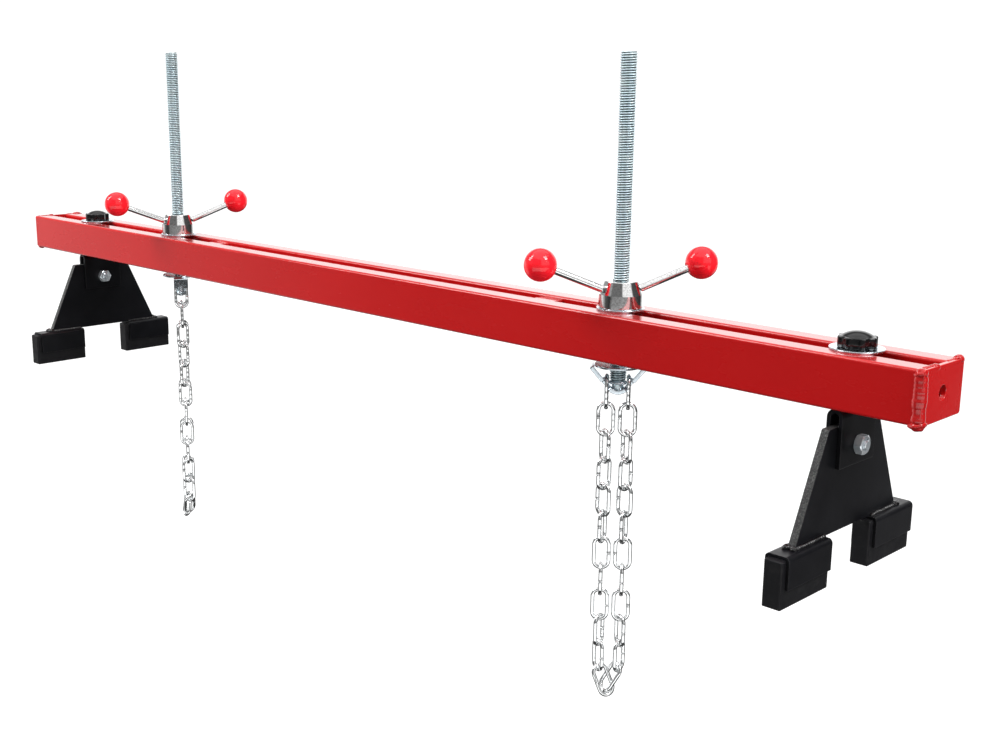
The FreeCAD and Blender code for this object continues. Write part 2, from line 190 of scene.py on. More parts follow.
def rounded_profile(points, radii, steps=4, closed=True):
    """Profile polygon with rounded corners; open profiles keep their two end points sharp."""
    if closed:
        return rounded_outline(points, radii, steps=steps)
    outline = rounded_outline(points, radii, steps=steps)
    per_corner = steps + 1
    inner = outline[per_corner:-per_corner]
    return [tuple(points[0])] + inner + [tuple(points[-1])]


def frames_along(points, closed):
    """Tangent and two normals at each point of a path, turning as little as possible."""
    n = len(points)
    tangents = []
    for i in range(n):
        before = points[i - 1] if closed or i > 0 else points[i]
        after = points[(i + 1) % n] if closed or i < n - 1 else points[i]
        tangents.append((after - before).normalized())
    guess = Vector((0, 0, 1)) if abs(tangents[0].z) < 0.9 else Vector((1, 0, 0))
    normal = tangents[0].cross(guess).normalized()
    frames = []
    for t in tangents:
        normal = (normal - t * normal.dot(t)).normalized()
        frames.append((t, normal, t.cross(normal)))
    return frames


def tube(bm, points, radii, sides=16, closed=False, section=None):
    """Swept tube. section(i, angle) can scale the radius; open tubes end in rounded tips."""
    frames = frames_along(points, closed)
    rings = []
    for i, (p, (_, n, b)) in enumerate(zip(points, frames)):
        ring = []
        for k in range(sides):
            a = 2 * math.pi * k / sides
            r = radii[i] * (section(i, a) if section else 1.0)
            ring.append(bm.verts.new(p + n * r * math.cos(a) + b * r * math.sin(a)))
        rings.append(ring)
    for ring_a, ring_b in zip(rings, rings[1:]):
        skin(bm, ring_a, ring_b)
    if closed:
        skin(bm, rings[-1], rings[0])
        return
    for ring, p, frame_here, sign in ((rings[0], points[0], frames[0], -1),
                                      (rings[-1], points[-1], frames[-1], 1)):
        tip = bm.verts.new(p + frame_here[0] * sign * (ring[0].co - p).length * 0.6)
        fan(bm, ring, tip)


def piece(name, bm, material, node=None, body=None, sharp=35.0, replaces=()):
    """Turns a bmesh into a named piece that rides on its body and has its finish."""
    bmesh.ops.recalc_face_normals(bm, faces=bm.faces[:])
    mesh = bpy.data.meshes.new(name)
    bm.to_mesh(mesh)
    bm.free()
    materials = material if isinstance(material, (list, tuple)) else [material]
    for m in materials:
        mesh.materials.append(m)
    mesh.shade_smooth()
    mesh.set_sharp_from_angle(angle=math.radians(sharp))
    obj = bpy.data.objects.new(name, mesh)
    bpy.context.scene.collection.objects.link(obj)
    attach(obj, body or BODY_OF[node])
    nodes = list(replaces) or ([node] if node else [])
    if nodes:
        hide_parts(*nodes)
    return obj


def keep_flats(obj):
    """Shades flat faces flat beside small rounded edges."""
    mod = obj.modifiers.new("flats", "WEIGHTED_NORMAL")
    mod.keep_sharp = True
    mod.weight = 90
    return obj


# ------------------------------------------------------------------ materials

class Shader:
    """Small helper for building a node material."""

    def __init__(self, name, colour, metallic=0.0, roughness=0.4):
        self.material = bpy.data.materials.new(name)
        self.material.use_nodes = True
        self.material.diffuse_color = (*colour, 1.0)
        self.tree = self.material.node_tree
        self.bsdf = next(n for n in self.tree.nodes if n.type == "BSDF_PRINCIPLED")
        self.bsdf.inputs["Base Color"].default_value = (*colour, 1.0)
        self.bsdf.inputs["Metallic"].default_value = metallic
        self.bsdf.inputs["Roughness"].default_value = roughness
        self.coords = self.tree.nodes.new("ShaderNodeTexCoord").outputs["Object"]
        self.bump_chain = None

    def link(self, a, b):
        self.tree.links.new(a, b)

    def noise(self, scale, detail=3.0, rough=0.5, stretch=None):
        tex = self.tree.nodes.new("ShaderNodeTexNoise")
        tex.inputs["Scale"].default_value = scale
        tex.inputs["Detail"].default_value = detail
        tex.inputs["Roughness"].default_value = rough
        source = self.coords
        if stretch:
            mapping = self.tree.nodes.new("ShaderNodeMapping")
            mapping.inputs["Scale"].default_value = stretch
            self.link(source, mapping.inputs["Vector"])
            source = mapping.outputs["Vector"]
        self.link(source, tex.inputs["Vector"])
        return tex.outputs["Fac"]

    def ramp(self, value, low, high, out_low=0.0, out_high=1.0):
        node = self.tree.nodes.new("ShaderNodeMapRange")
        node.inputs["From Min"].default_value = low
        node.inputs["From Max"].default_value = high
        node.inputs["To Min"].default_value = out_low
        node.inputs["To Max"].default_value = out_high
        self.link(value, node.inputs["Value"])
        return node.outputs["Result"]

    def mix(self, factor, colour_a, colour_b):
        node = self.tree.nodes.new("ShaderNodeMix")
        node.data_type = "RGBA"
        self.link(factor, node.inputs["Factor"])
        for value, socket in ((colour_a, node.inputs[6]), (colour_b, node.inputs[7])):
            if isinstance(value, tuple):
                socket.default_value = (*value, 1.0)
            else:
                self.link(value, socket)
        return node.outputs[2]

    def colour(self, value):
        self.link(value, self.bsdf.inputs["Base Color"])

    def roughness(self, value):
        self.link(value, self.bsdf.inputs["Roughness"])

    def bump(self, height, distance, strength=1.0):
        node = self.tree.nodes.new("ShaderNodeBump")
        node.inputs["Distance"].default_value = distance
        node.inputs["Strength"].default_value = strength
        self.link(height, node.inputs["Height"])
        if self.bump_chain:
            self.link(self.bump_chain, node.inputs["Normal"])
        self.bump_chain = node.outputs["Normal"]
        self.link(self.bump_chain, self.bsdf.inputs["Normal"])

    def edge_share(self, radius, gain):
        """How close a point is to an edge, from the difference that rounding the edges makes."""
        bevel = self.tree.nodes.new("ShaderNodeBevel")
        bevel.samples = 4
        bevel.inputs["Radius"].default_value = radius
        geometry = self.tree.nodes.new("ShaderNodeNewGeometry")
        dot = self.tree.nodes.new("ShaderNodeVectorMath")
        dot.operation = "DOT_PRODUCT"
        self.link(bevel.outputs["Normal"], dot.inputs[0])
        self.link(geometry.outputs["Normal"], dot.inputs[1])
        return self.ramp(dot.outputs["Value"], 1.0, 1.0 - gain)

    def coat(self, weight, roughness):
        self.bsdf.inputs["Coat Weight"].default_value = weight
        self.bsdf.inputs["Coat Roughness"].default_value = roughness


def red_enamel():
    """Thick glossy enamel: faint orange peel, slight colour drift and handling marks."""
    s = Shader("red_enamel", (0.46, 0.008, 0.010), roughness=0.3)
    drift = s.ramp(s.noise(5.0, 3.0), 0.3, 0.7)
    shade = s.mix(drift, (0.375, 0.0040, 0.0045), (0.415, 0.0050, 0.0055))
    # Edges are painted lighter: partly thinner enamel there, and partly a painted highlight for the
    # reflection along the rounded edges.
    thin_paint_and_highlight = s.edge_share(1.0 * MM, 0.5)
    s.colour(s.mix(thin_paint_and_highlight, shade, (0.50, 0.0058, 0.0058)))
    smudge = s.noise(26.0, 5.0, 0.6, stretch=(0.4, 1.0, 1.0))
    s.roughness(s.ramp(smudge, 0.25, 0.85, 0.25, 0.30))
    s.bump(s.noise(420.0, 2.0), 0.04 * MM, 0.12)
    s.bump(s.noise(40.0, 1.0, stretch=(0.35, 1.0, 1.0)), 0.10 * MM, 0.06)
    s.coat(0.9, 0.05)
    s.bsdf.inputs["Specular IOR Level"].default_value = 0.15
    return s.material


def weld_enamel():
    """The same enamel, pooled over weld beads."""
    s = Shader("weld_enamel", (0.45, 0.006, 0.007), roughness=0.26)
    s.colour(s.mix(s.noise(160.0, 3.0), (0.28, 0.0030, 0.0035), (0.46, 0.0060, 0.0070)))
    s.bump(s.noise(300.0, 2.0), 0.20 * MM, 0.35)
    s.coat(1.0, 0.05)
    s.bsdf.inputs["Specular IOR Level"].default_value = 0.2
    return s.material


def ball_red():
    """Bright moulded red with a very smooth skin."""
    s = Shader("ball_red", (0.82, 0.012, 0.022), roughness=0.1)
    s.colour(s.mix(s.noise(70.0, 3.0), (0.79, 0.010, 0.019), (0.85, 0.014, 0.025)))
    s.roughness(s.ramp(s.noise(140.0, 4.0), 0.3, 0.8, 0.03, 0.05))
    s.bump(s.noise(900.0, 2.0), 0.02 * MM, 0.1)
    s.coat(0.4, 0.02)
    s.bsdf.inputs["Specular IOR Level"].default_value = 0.30
    s.bsdf.inputs["Subsurface Weight"].default_value = 0.05
    s.bsdf.inputs["Subsurface Radius"].default_value = (0.004, 0.001, 0.001)
    return s.material


def polished_chrome():
    """Bright chrome over a turned surface."""
    s = Shader("polished_chrome", (0.86, 0.86, 0.86), metallic=1.0, roughness=0.07)
    haze = s.noise(55.0, 5.0, 0.6)
    scuff = s.ramp(s.noise(520.0, 3.0, 0.7), 0.46, 0.66)
    s.roughness(s.ramp(haze, 0.3, 0.8, 0.05, 0.15))
    s.colour(s.mix(scuff, (0.90, 0.90, 0.90), (0.62, 0.62, 0.61)))
    s.bump(s.noise(90.0, 3.0, stretch=(1.0, 1.0, 26.0)), 0.03 * MM, 0.35)
    s.bump(s.noise(600.0, 3.0), 0.02 * MM, 0.3)
    return s.material


def zinc_plate(name="zinc_plate", scratch=(1.0, 1.0, 1.0), low=0.16, high=0.34,
               bright=(0.82, 0.88, 0.92), dull=(0.62, 0.72, 0.79), metallic=1.0):
    """Bright zinc: cool silver, cloudy, with a little dullness and fine scratches."""
    s = Shader(name, bright, metallic=metallic, roughness=0.25)
    cloud = s.noise(85.0, 5.0, 0.62)
    shade = s.mix(s.ramp(cloud, 0.3, 0.72), bright, dull)
    warm = s.ramp(s.noise(24.0, 2.0), 0.52, 0.75, 0.0, 0.3)
    s.colour(s.mix(warm, shade, (0.80, 0.81, 0.78)))
    s.roughness(s.ramp(s.noise(210.0, 4.0), 0.3, 0.75, low, high))
    s.bump(s.noise(700.0, 3.0, stretch=scratch), 0.04 * MM, 0.4)
    return s.material


def chain_zinc():
    """Zinc on tumbled chain wire: bright, a little lumpy, with darker stains."""
    s = Shader("chain_zinc", (0.90, 0.92, 0.93), metallic=1.0, roughness=0.15)
    stain = s.ramp(s.noise(150.0, 4.0, 0.65), 0.58, 0.80)
    s.colour(s.mix(stain, (0.93, 0.945, 0.95), (0.50, 0.52, 0.54)))
    s.roughness(s.ramp(s.noise(260.0, 4.0), 0.3, 0.75, 0.04, 0.12))
    s.bump(s.noise(480.0, 3.0), 0.10 * MM, 0.20)
    s.bump(s.noise(150.0, 2.0), 0.25 * MM, 0.25)
    return s.material


def rubbed_black(name, low, high, rough_low, rough_high, grain, coat=0.0):
    """Black paint with a fine texture, a faint cloud and grey-rubbed edges."""
    s = Shader(name, high, roughness=rough_high)
    s.bsdf.inputs["Specular IOR Level"].default_value = 0.24
    shade = s.mix(s.ramp(s.noise(30.0, 5.0, 0.6), 0.3, 0.7), low, high)
    edge = s.edge_share(0.7 * MM, 0.45)
    rub = s.ramp(s.noise(240.0, 4.0, 0.7), 0.30, 0.55)
    both = s.tree.nodes.new("ShaderNodeMath")
    both.operation = "MULTIPLY"
    s.link(edge, both.inputs[0])
    s.link(rub, both.inputs[1])
    s.colour(s.mix(both.outputs[0], shade, (0.105, 0.105, 0.110)))
    s.roughness(s.ramp(s.noise(80.0, 5.0, 0.6), 0.3, 0.75, rough_low, rough_high))
    s.bump(s.noise(1300.0, 2.0), grain, 0.3)
    s.bump(s.noise(130.0, 3.0), 2 * grain, 0.2)
    if coat:
        s.coat(coat, 0.06)
    return s.material


def powder_black():
    """Satin black paint on the flat plates."""
    return rubbed_black("powder_black", (0.0030, 0.0030, 0.0040), (0.0060, 0.0062, 0.0075),
                        0.28, 0.38, 0.04 * MM)


def pooled_black():
    """The same paint, thick and glossy where it has pooled over welds and bends."""
    return rubbed_black("pooled_black", (0.0035, 0.0035, 0.0040), (0.0060, 0.0060, 0.0065),
                        0.16, 0.26, 0.05 * MM, coat=0.8)


def cut_edge():
    """Flame-cut plate edge under thin black paint: pitted and speckled grey."""
    s = Shader("cut_edge", (0.05, 0.05, 0.05), roughness=0.5)
    pits = s.noise(620.0, 5.0, 0.75)
    streak = s.noise(160.0, 4.0, 0.7, stretch=(2.2, 0.35, 0.35))
    shade = s.mix(s.ramp(pits, 0.46, 0.70), (0.010, 0.010, 0.010), (0.15, 0.15, 0.148))
    s.colour(s.mix(s.ramp(streak, 0.35, 0.7, 0.0, 0.7), shade, (0.014, 0.014, 0.014)))
    s.roughness(s.ramp(pits, 0.3, 0.7, 0.38, 0.62))
    s.bump(pits, 0.5 * MM, 0.8)
    s.bump(streak, 0.5 * MM, 0.5)
    return s.material


def knob_plastic():
    """Moulded black plastic."""
    s = Shader("knob_plastic", (0.003, 0.003, 0.0035), roughness=0.12)
    s.colour(s.mix(s.noise(60.0, 3.0), (0.002, 0.002, 0.0025), (0.004, 0.004, 0.0045)))
    s.roughness(s.ramp(s.noise(120.0, 5.0, 0.6), 0.3, 0.75, 0.08, 0.15))
    s.bump(s.noise(1100.0, 2.0), 0.03 * MM, 0.15)
    return s.material


def pad_rubber():
    """Matte rubber with a fine grain and a dusting of grey."""
    s = Shader("pad_rubber", (0.010, 0.010, 0.011), roughness=0.6)
    dust = s.ramp(s.noise(110.0, 6.0, 0.7), 0.50, 0.80)
    shade = s.mix(dust, (0.0050, 0.0050, 0.0060), (0.014, 0.014, 0.014))
    edge = s.edge_share(1.2 * MM, 0.5)
    s.colour(s.mix(edge, shade, (0.050, 0.050, 0.052)))
    s.bsdf.inputs["Specular IOR Level"].default_value = 0.25
    s.roughness(s.ramp(s.noise(75.0, 5.0), 0.3, 0.7, 0.46, 0.62))
    s.bump(s.noise(900.0, 4.0, 0.7), 0.10 * MM, 0.5)
    s.bump(s.noise(45.0, 3.0), 0.4 * MM, 0.25)
    return s.material


RED = red_enamel()
WELD_RED = weld_enamel()
BALL_RED = ball_red()
CHROME = polished_chrome()
ZINC = zinc_plate()
ZINC_SCREW = zinc_plate("zinc_screw", (1.0, 1.0, 0.25), 0.30, 0.42,
                        bright=(0.88, 0.99, 1.0), dull=(0.74, 0.90, 0.96), metallic=0.6)
# Darker copy of the screw's zinc for the bottom of the thread's groove: painted shade in the root.
ZINC_GROOVE_SHADE = zinc_plate("zinc_groove_shade", (1.0, 1.0, 0.25), 0.30, 0.44,
                         bright=(0.11, 0.16, 0.19), dull=(0.05, 0.08, 0.10))
ZINC_NUT = zinc_plate("zinc_nut", (1.0, 1.0, 1.0), 0.14, 0.26, (0.92, 0.97, 1.0), metallic=0.62)
CHAIN = chain_zinc()
BLACK = powder_black()
BLACK_POOLED = pooled_black()
CUT = cut_edge()
KNOB = knob_plastic()
RUBBER = pad_rubber()


# ------------------------------------------------------------------ weld beads

def weld_bead(bm, points, radius, seed, pool=0.18):
    """Bead of overlapping puddles along a path, thinner at its two ends."""
    step = min(radius * 0.22, 0.5 * MM)
    path = resample([Vector(p) for p in points], step)
    phase = random.Random(seed).uniform(0, 1)
    puddle = min(radius * 1.25, 4.2 * MM)
    radii = []
    centres = []
    for i, p in enumerate(path):
        slip = 0.9 * noise.noise(p * 55.0 + Vector((0, 0, seed)))
        cycle = (i * step / puddle + phase + slip) % 1.0
        ripple = 1.0 - pool * 1.6 * min(cycle ** 2, (1.0 - cycle) * 4.0)
        lump = 1.0 + 0.16 * noise.noise(p * 130.0 + Vector((seed, 0, 0)))
        from_end = min(i, len(path) - 1 - i) * step / radius
        taper = math.sqrt(max(0.05, 1 - (1 - min(1.0, from_end)) ** 2))
        radii.append(radius * ripple * lump * taper)
        drift = noise.noise_vector(p * 90.0 + Vector((0, seed, 0)))
        centres.append(p + drift * min(radius * 0.22, 0.7 * MM))
    tube(bm, centres, radii, sides=20)


def resample(points, step):
    """Points at an even step along a polyline."""
    out = [points[0]]
    left = step
    for a, b in zip(points, points[1:]):
        length = (b - a).length
        if length < 1e-9:
            continue
        at = left
        while at <= length:
            out.append(a.lerp(b, at / length))
            at += step
        left = at - length
    if (out[-1] - points[-1]).length > step * 0.3:
        out.append(points[-1])
    return out


def blob(bm, centre, radii, seed):
    """Lump of weld metal."""
    made = bmesh.ops.create_icosphere(bm, subdivisions=4, radius=1.0)
    for v in made["verts"]:
        d = v.co.normalized()
        swell = 1 + 0.16 * noise.noise(d * 1.7 + Vector((seed, 0, 0)))
        v.co = Vector(centre) + Vector((d.x * radii[0], d.y * radii[1], d.z * radii[2])) * swell


# ------------------------------------------------------------------ beam

def rail(node):
    """Rectangular tube with rounded corners inside and out."""
    low, high = corners_of(node)
    wall = 2 * MM
    corner_r = 3 * MM
    corners = [(low.y, low.z), (high.y, low.z), (high.y, high.z), (low.y, high.z)]
    bm = bmesh.new()

    def loops(inset):
        outer = rounded_outline(corners, corner_r, inset, steps=8)
        inner = rounded_outline(corners, corner_r, wall - inset, steps=8)
        return [outer, inner]

    slab(bm, loops, [(0, low.x), (0, high.x)], lambda u, v, h: (h, u, v))
    return keep_flats(piece(node + "_tube", bm, RED, node))


def end_plate(side):
    """Plate closing the beam's end, with a drilled hole and softened edges."""
    node = "end_plate_" + side
    low, high = corners_of(node)
    mid = (low + high) / 2
    corners = [(low.y, low.z), (high.y, low.z), (high.y, high.z), (low.y, high.z)]
    hole_r = 6.5 * MM
    bm = bmesh.new()

    def loops(inset):
        outer = rounded_outline(corners, 3 * MM, inset, steps=6)
        hole = circle_outline(hole_r + inset, 48, (mid.y, mid.z))
        return [outer, hole]

    levels = rounded_levels(low.x, high.x, 0.9 * MM)
    slab(bm, loops, levels, lambda u, v, h: (h, u, v))
    return keep_flats(piece(node + "_cap", bm, RED, node))


def slot_spacer(side):
    node = "slot_spacer_" + side
    low, high = corners_of(node)
    corners = [(low.x, low.z), (high.x, low.z), (high.x, high.z), (low.x, high.z)]
    bm = bmesh.new()
    slab(bm, lambda inset: [rounded_outline(corners, 1 * MM, inset, steps=3)],
         rounded_levels(low.y, high.y, 0.3 * MM, 2), lambda u, v, h: (u, h, v))
    return keep_flats(piece(node + "_block", bm, RED, node))


def end_welds(side):
    """Fat corner beads down the end plate, with runs along its other edges."""
    sign = 1 if side == "right" else -1
    low, high = corners_of("end_plate_" + side)
    outer_x = high.x if sign > 0 else low.x
    seed = 11 if sign > 0 else 37
    near_y, far_y = low.y, high.y
    slim = 1.0 if sign > 0 else 0.72
    bead_r = 6.4 * MM * slim
    sunk = 4.6 * MM
    x = outer_x - sign * sunk
    bm = bmesh.new()
    weld_bead(bm, [(x, near_y + sunk, low.z + 1.0 * MM), (x, near_y + sunk, high.z - 3.5 * MM)],
              bead_r, seed, pool=0.035)
    blob(bm, (x - sign * 0.5 * MM, near_y + sunk, high.z - 4.2 * MM),
         (6.2 * MM * slim, 6.6 * MM * slim, 5.0 * MM), seed + 3)
    blob(bm, (x - sign * 0.6 * MM, near_y + sunk + 1.0 * MM, low.z + 0.9 * MM),
         (7.4 * MM * slim, 7.8 * MM * slim, 5.2 * MM * slim), seed + 8)
    thin_x = outer_x - sign * 4.6 * MM
    weld_bead(bm, [(thin_x, far_y - 1.0 * MM, low.z), (thin_x, far_y - 1.0 * MM, high.z)],
              2.6 * MM, seed + 1)
    blob(bm, (thin_x + sign * 1.0 * MM, far_y - 3.5 * MM, high.z - 0.6 * MM),
         (4.6 * MM, 6.0 * MM / slim, 3.8 * MM * slim), seed + 5)
    blob(bm, (thin_x + sign * 1.2 * MM, near_y + 26 * MM, high.z - 1.8 * MM),
         (3.8 * MM, 5.0 * MM, 3.6 * MM), seed + 6)
    for y0, y1 in ((near_y + 6 * MM, near_y + 26 * MM), (far_y - 24 * MM, far_y - 4 * MM)):
        for z in (high.z - 1.2 * MM, low.z + 1.2 * MM):
            weld_bead(bm, [(thin_x, y0, z), (thin_x, y1, z)], 2.2 * MM,
                      seed + int(y0 * 1000) + int(z * 1000))
    return piece("end_welds_" + side, bm, WELD_RED, body="beam", sharp=60)


def spacer_welds(side):
    """Short beads across the slot on each spacer, top and bottom."""
    low, high = corners_of("slot_spacer_" + side)
    seed = 71 if side == "right" else 53
    bm = bmesh.new()
    for y in (low.y, high.y):
        for z in (high.z - 0.6 * MM, low.z + 0.6 * MM):
            weld_bead(bm, [(low.x + 3 * MM, y, z), (high.x - 3 * MM, y, z)],
                      2.4 * MM, seed + int(y * 1000) + int(z * 1000))
    return piece("spacer_welds_" + side, bm, WELD_RED, body="beam", sharp=60)


# ------------------------------------------------------------------ round hardware

def washer(node, material=None, wear=0.35 * MM):
    """Punched washer: one rim rolled over, the other with a small burr."""
    low, high = corners_of(node)
    c = (low + high) / 2
    bore = 9.5 * MM if "foot" not in node else 4.5 * MM
    outer = (high.x - low.x) / 2
    points = [(bore, low.z), (outer, low.z), (outer, high.z), (bore, high.z)]
    profile = rounded_profile(points, [0.15 * MM, 0.3 * MM, 0.7 * MM, wear], steps=4)
    bm = bmesh.new()
    lathe(bm, profile, 96, lambda p: p + Vector((c.x, c.y, 0)))
    return keep_flats(piece(node + "_ring", bm, material or ZINC, node))


def thread_radius(phase, radius, depth):
    """Radius of an ISO thread at a share of its pitch: crest, flank, root, flank."""
    crest = 0.14
    root = 0.22
    flank = (1 - crest - root) / 2
    if phase < crest:
        return radius
    if phase < crest + flank:
        return radius - depth * (phase - crest) / flank
    if phase < crest + flank + root:
        return radius - depth
    return radius - depth * (1 - phase) / flank


def threaded_rod(bm, radius, z0, z1, thread, centre, along=None, per_pitch=10, sides=40,
                 groove_slot=0):
    """Rod with a helical thread from z0 to z1, chamfered at both ends.

    The bottom of the groove gets the material in groove_slot, a darker zinc painted there as shade.
    """
    place = along or (lambda p: p)
    pitch = thread["pitch"]
    depth = thread["depth"]
    step = pitch / per_pitch
    rows = int(round((z1 - z0) / step))
    rings = []
    for i in range(rows + 1):
        z = z0 + (z1 - z0) * i / rows
        from_end = min(z - z0, z1 - z)
        limit = radius - depth * 1.25 + from_end * 1.1
        ring = []
        for k in range(sides):
            a = 2 * math.pi * k / sides
            phase = (z / pitch - k / sides) % 1.0
            r = min(thread_radius(phase, radius, depth), limit)
            ring.append(bm.verts.new(place(Vector((r * math.cos(a), r * math.sin(a), z)))
                                     + centre))
        rings.append(ring)
    for i, (a, b) in enumerate(zip(rings, rings[1:])):
        z = z0 + (z1 - z0) * (i + 0.5) / rows
        for k in range(sides):
            j = (k + 1) % sides
            face = bm.faces.new((a[k], a[j], b[j], b[k]))
            phase = (z / pitch - (k + 0.5) / sides) % 1.0
            if GROOVE[0] < phase < GROOVE[1]:
                face.material_index = groove_slot
    bm.faces.new(rings[0])
    bm.faces.new(rings[-1])


def hexagon_radius(angle, flat_r):
    """Distance from the axis to a hexagon's side."""
    part = (angle + math.pi / 6) % (math.pi / 3) - math.pi / 6
    return flat_r / math.cos(part)


def hexagon(bm, flat_r, height, bore_r, chamfer_r, place, both=False, sides=96):
    """Hexagon head or nut with turned chamfers; bore_r 0 makes a solid head."""
    slope = math.tan(math.radians(30))
    rows = []

    def ring(radius_at, z_at):
        row = []
        for k in range(sides):
            a = 2 * math.pi * k / sides
            r = radius_at(a)
            row.append(bm.verts.new(place(Vector((r * math.cos(a), r * math.sin(a), z_at(r))))))
        rows.append(row)

    def hex_r(a):
        return hexagon_radius(a, flat_r)

    top = lambda r: height - max(0.0, r - chamfer_r) * slope
    low = (lambda r: max(0.0, r - chamfer_r) * slope) if both else (lambda r: 0.0)
    inner = max(bore_r, 0.4 * chamfer_r)
    if bore_r:
        ring(lambda a: bore_r, lambda r: 0.6 * MM)
        ring(lambda a: bore_r + 0.6 * MM, lambda r: 0.0)
    ring(lambda a: chamfer_r, lambda r: 0.0)
    ring(hex_r, low)
    ring(hex_r, top)
    ring(lambda a: chamfer_r, lambda r: height)
    if bore_r:
        ring(lambda a: bore_r + 0.6 * MM, lambda r: height)
        ring(lambda a: bore_r, lambda r: height - 0.6 * MM)
    else:
        ring(lambda a: inner, lambda r: height - 0.15 * MM)
    for a, b in zip(rows, rows[1:]):
        skin(bm, a, b)
    if bore_r:
        skin(bm, rows[-1], rows[0])
    else:
        bm.faces.new(rows[0])
        bm.faces.new(rows[-1])


# ------------------------------------------------------------------ lifting unit

def hand_nut(side):
    """Turned hub: straight skirt, cone above it, softened rims and bored top."""
    node = "hand_nut_" + side
    low, high = corners_of(node)
    c = middle_of(node)
    outer = (high.x - low.x) / 2
    top_r = outer - 5 * MM
    shoulder = low.z + 14 * MM
    bore = 9.05 * MM
    points = [(bore, low.z), (outer, low.z), (outer, shoulder), (top_r, high.z), (bore, high.z)]
    profile = rounded_profile(points, [0.4 * MM, 0.8 * MM, 0.5 * MM, 1.3 * MM, 1.0 * MM], 4)
    bm = bmesh.new()
    lathe(bm, profile, 128, lambda p: p + Vector((c.x, 0, 0)))
    return keep_flats(piece(node + "_hub", bm, CHROME, node, sharp=25))


def along(origin, direction):
    """Maps the local Z axis onto a direction from an origin."""
    turn = Vector((0, 0, 1)).rotation_difference(direction).to_matrix()
    return lambda p: origin + turn @ p


# A lever's length from the hub's cone to its ball's centre, and its slope.
LEVER_LENGTH = 70 * MM
LEVER_RUN = 65.0
LEVER_RISE = 25.6


def lever_rods(side):
    """Two chromed levers: plain rods from inside the hub into the balls, chamfered at the ball's
    end.
    """
    bm = bmesh.new()
    for sign in (-1, 1):
        hub, ball, axis = lever_axis(side, sign)
        length = LEVER_LENGTH
        place = along(ball - axis * length, axis)
        r = 4 * MM
        profile = [(0, -6 * MM), (r, -6 * MM), (r, length - 4 * MM), (r - 0.6 * MM, length - 3 * MM),
                   (0, length - 3 * MM)]
        lathe(bm, profile, 40, place)
    return keep_flats(piece("lever_rods_%s_bars" % side, bm, CHROME, "lever_rods_" + side))


def lever_axis(side, sign):
    """Hub centre, ball centre and unit lever direction, from the CAD balls' places."""
    hub = middle_of("thrust_washer_" + side)
    low, high = corners_of("ball_knobs_" + side)
    ball_r = (high.z - low.z) / 2
    reach_x = (high.x - low.x) / 2 - ball_r
    reach_y = (high.y - low.y) / 2 - ball_r
    ball = Vector((hub.x + sign * reach_x, sign * reach_y, (low.z + high.z) / 2))
    flat = Vector((sign * reach_x, sign * reach_y, 0)).normalized()
    axis = (flat * LEVER_RUN + Vector((0, 0, LEVER_RISE))).normalized()
    return hub, ball, axis


def ball_knobs(side):
    """Two moulded balls, each with a small flat round its hole and a faint parting line."""
    low, high = corners_of("ball_knobs_" + side)
    r = (high.z - low.z) / 2
    bm = bmesh.new()
    flat_r = 6.2 * MM
    flat_z = -math.sqrt(r * r - flat_r * flat_r)
    start = math.acos(-flat_z / r)
    for sign in (-1, 1):
        _, ball, axis = lever_axis(side, sign)
        profile = [(3.9 * MM, flat_z + 6 * MM), (3.9 * MM, flat_z + 0.5 * MM),
                   (4.4 * MM, flat_z), (flat_r - 0.5 * MM, flat_z)]
        steps = 72
        for k in range(steps + 1):
            a = start + (math.pi - start) * k / steps
            seam = 0.06 * MM * math.exp(-((a - math.pi / 2) / 0.02) ** 2)
            profile.append(((r + seam) * math.sin(a), -(r + seam) * math.cos(a)))
        profile[-1] = (0, r)
        profile.insert(0, (0, flat_z + 6 * MM))
        lathe(bm, profile, 96, along(ball, axis))
    return piece("ball_knobs_%s_pair" % side, bm, BALL_RED, "ball_knobs_" + side, sharp=50)


def lift_screw(side):
    """Threaded rod, with a plain spigot below it."""
    node = "lift_screw_" + side
    low, high = corners_of(node)
    c = middle_of(node)
    bm = bmesh.new()
    shoulder = low.z + 13 * MM
    threaded_rod(bm, 9 * MM, shoulder, high.z, THREAD_LIFT, Vector((c.x, 0, 0)), groove_slot=1)
    profile = [(0, low.z), (5.6 * MM, low.z), (6 * MM, low.z + 0.4 * MM),
               (6 * MM, shoulder + 2 * MM), (0, shoulder + 2 * MM)]
    lathe(bm, profile, 40, lambda p: p + Vector((c.x, 0, 0)))
    return piece(node + "_thread", bm, [ZINC_SCREW, ZINC_GROOVE_SHADE], node, sharp=40)


def bar_path():
    """Centre line of the saddle's bent bar in its own plane: (spread, height) points."""
    bottom, turn_r, half_angle, reach = -86.75 * MM, 12.25 * MM, math.radians(50), 28.2 * MM
    centre_z = bottom + turn_r
    points = []
    arc_end = turn_r * math.sin(half_angle)
    steps = 14
    for k in range(-steps, steps + 1):
        a = half_angle * k / steps
        points.append(Vector((turn_r * math.sin(a), centre_z - turn_r * math.cos(a))))
    rise = turn_r * (1 - math.cos(half_angle)) + bottom
    slope = math.tan(half_angle)
    count = 44
    for k in range(1, count + 1):
        s = arc_end + (reach - arc_end) * k / count
        z = rise + (s - arc_end) * slope
        points.append(Vector((s, z)))
        points.insert(0, Vector((-s, z)))
    return points


def saddle_width(s):
    """The bar's half width at a spread: full, with a notched neck in each arm."""
    s = abs(s)
    wide, narrow, r = 10 * MM, 4 * MM, 1.5 * MM
    start, end = 8.2 * MM, 15.6 * MM
    if start < s < end:
        d = min(s - start, end - s)
        if d >= r:
            return narrow
        return narrow + r - math.sqrt(max(0.0, r * r - (r - d) ** 2))
    over = max(start - s, s - end)
    if over < 0.12 * MM:
        return wide - 0.6 * MM
    return wide


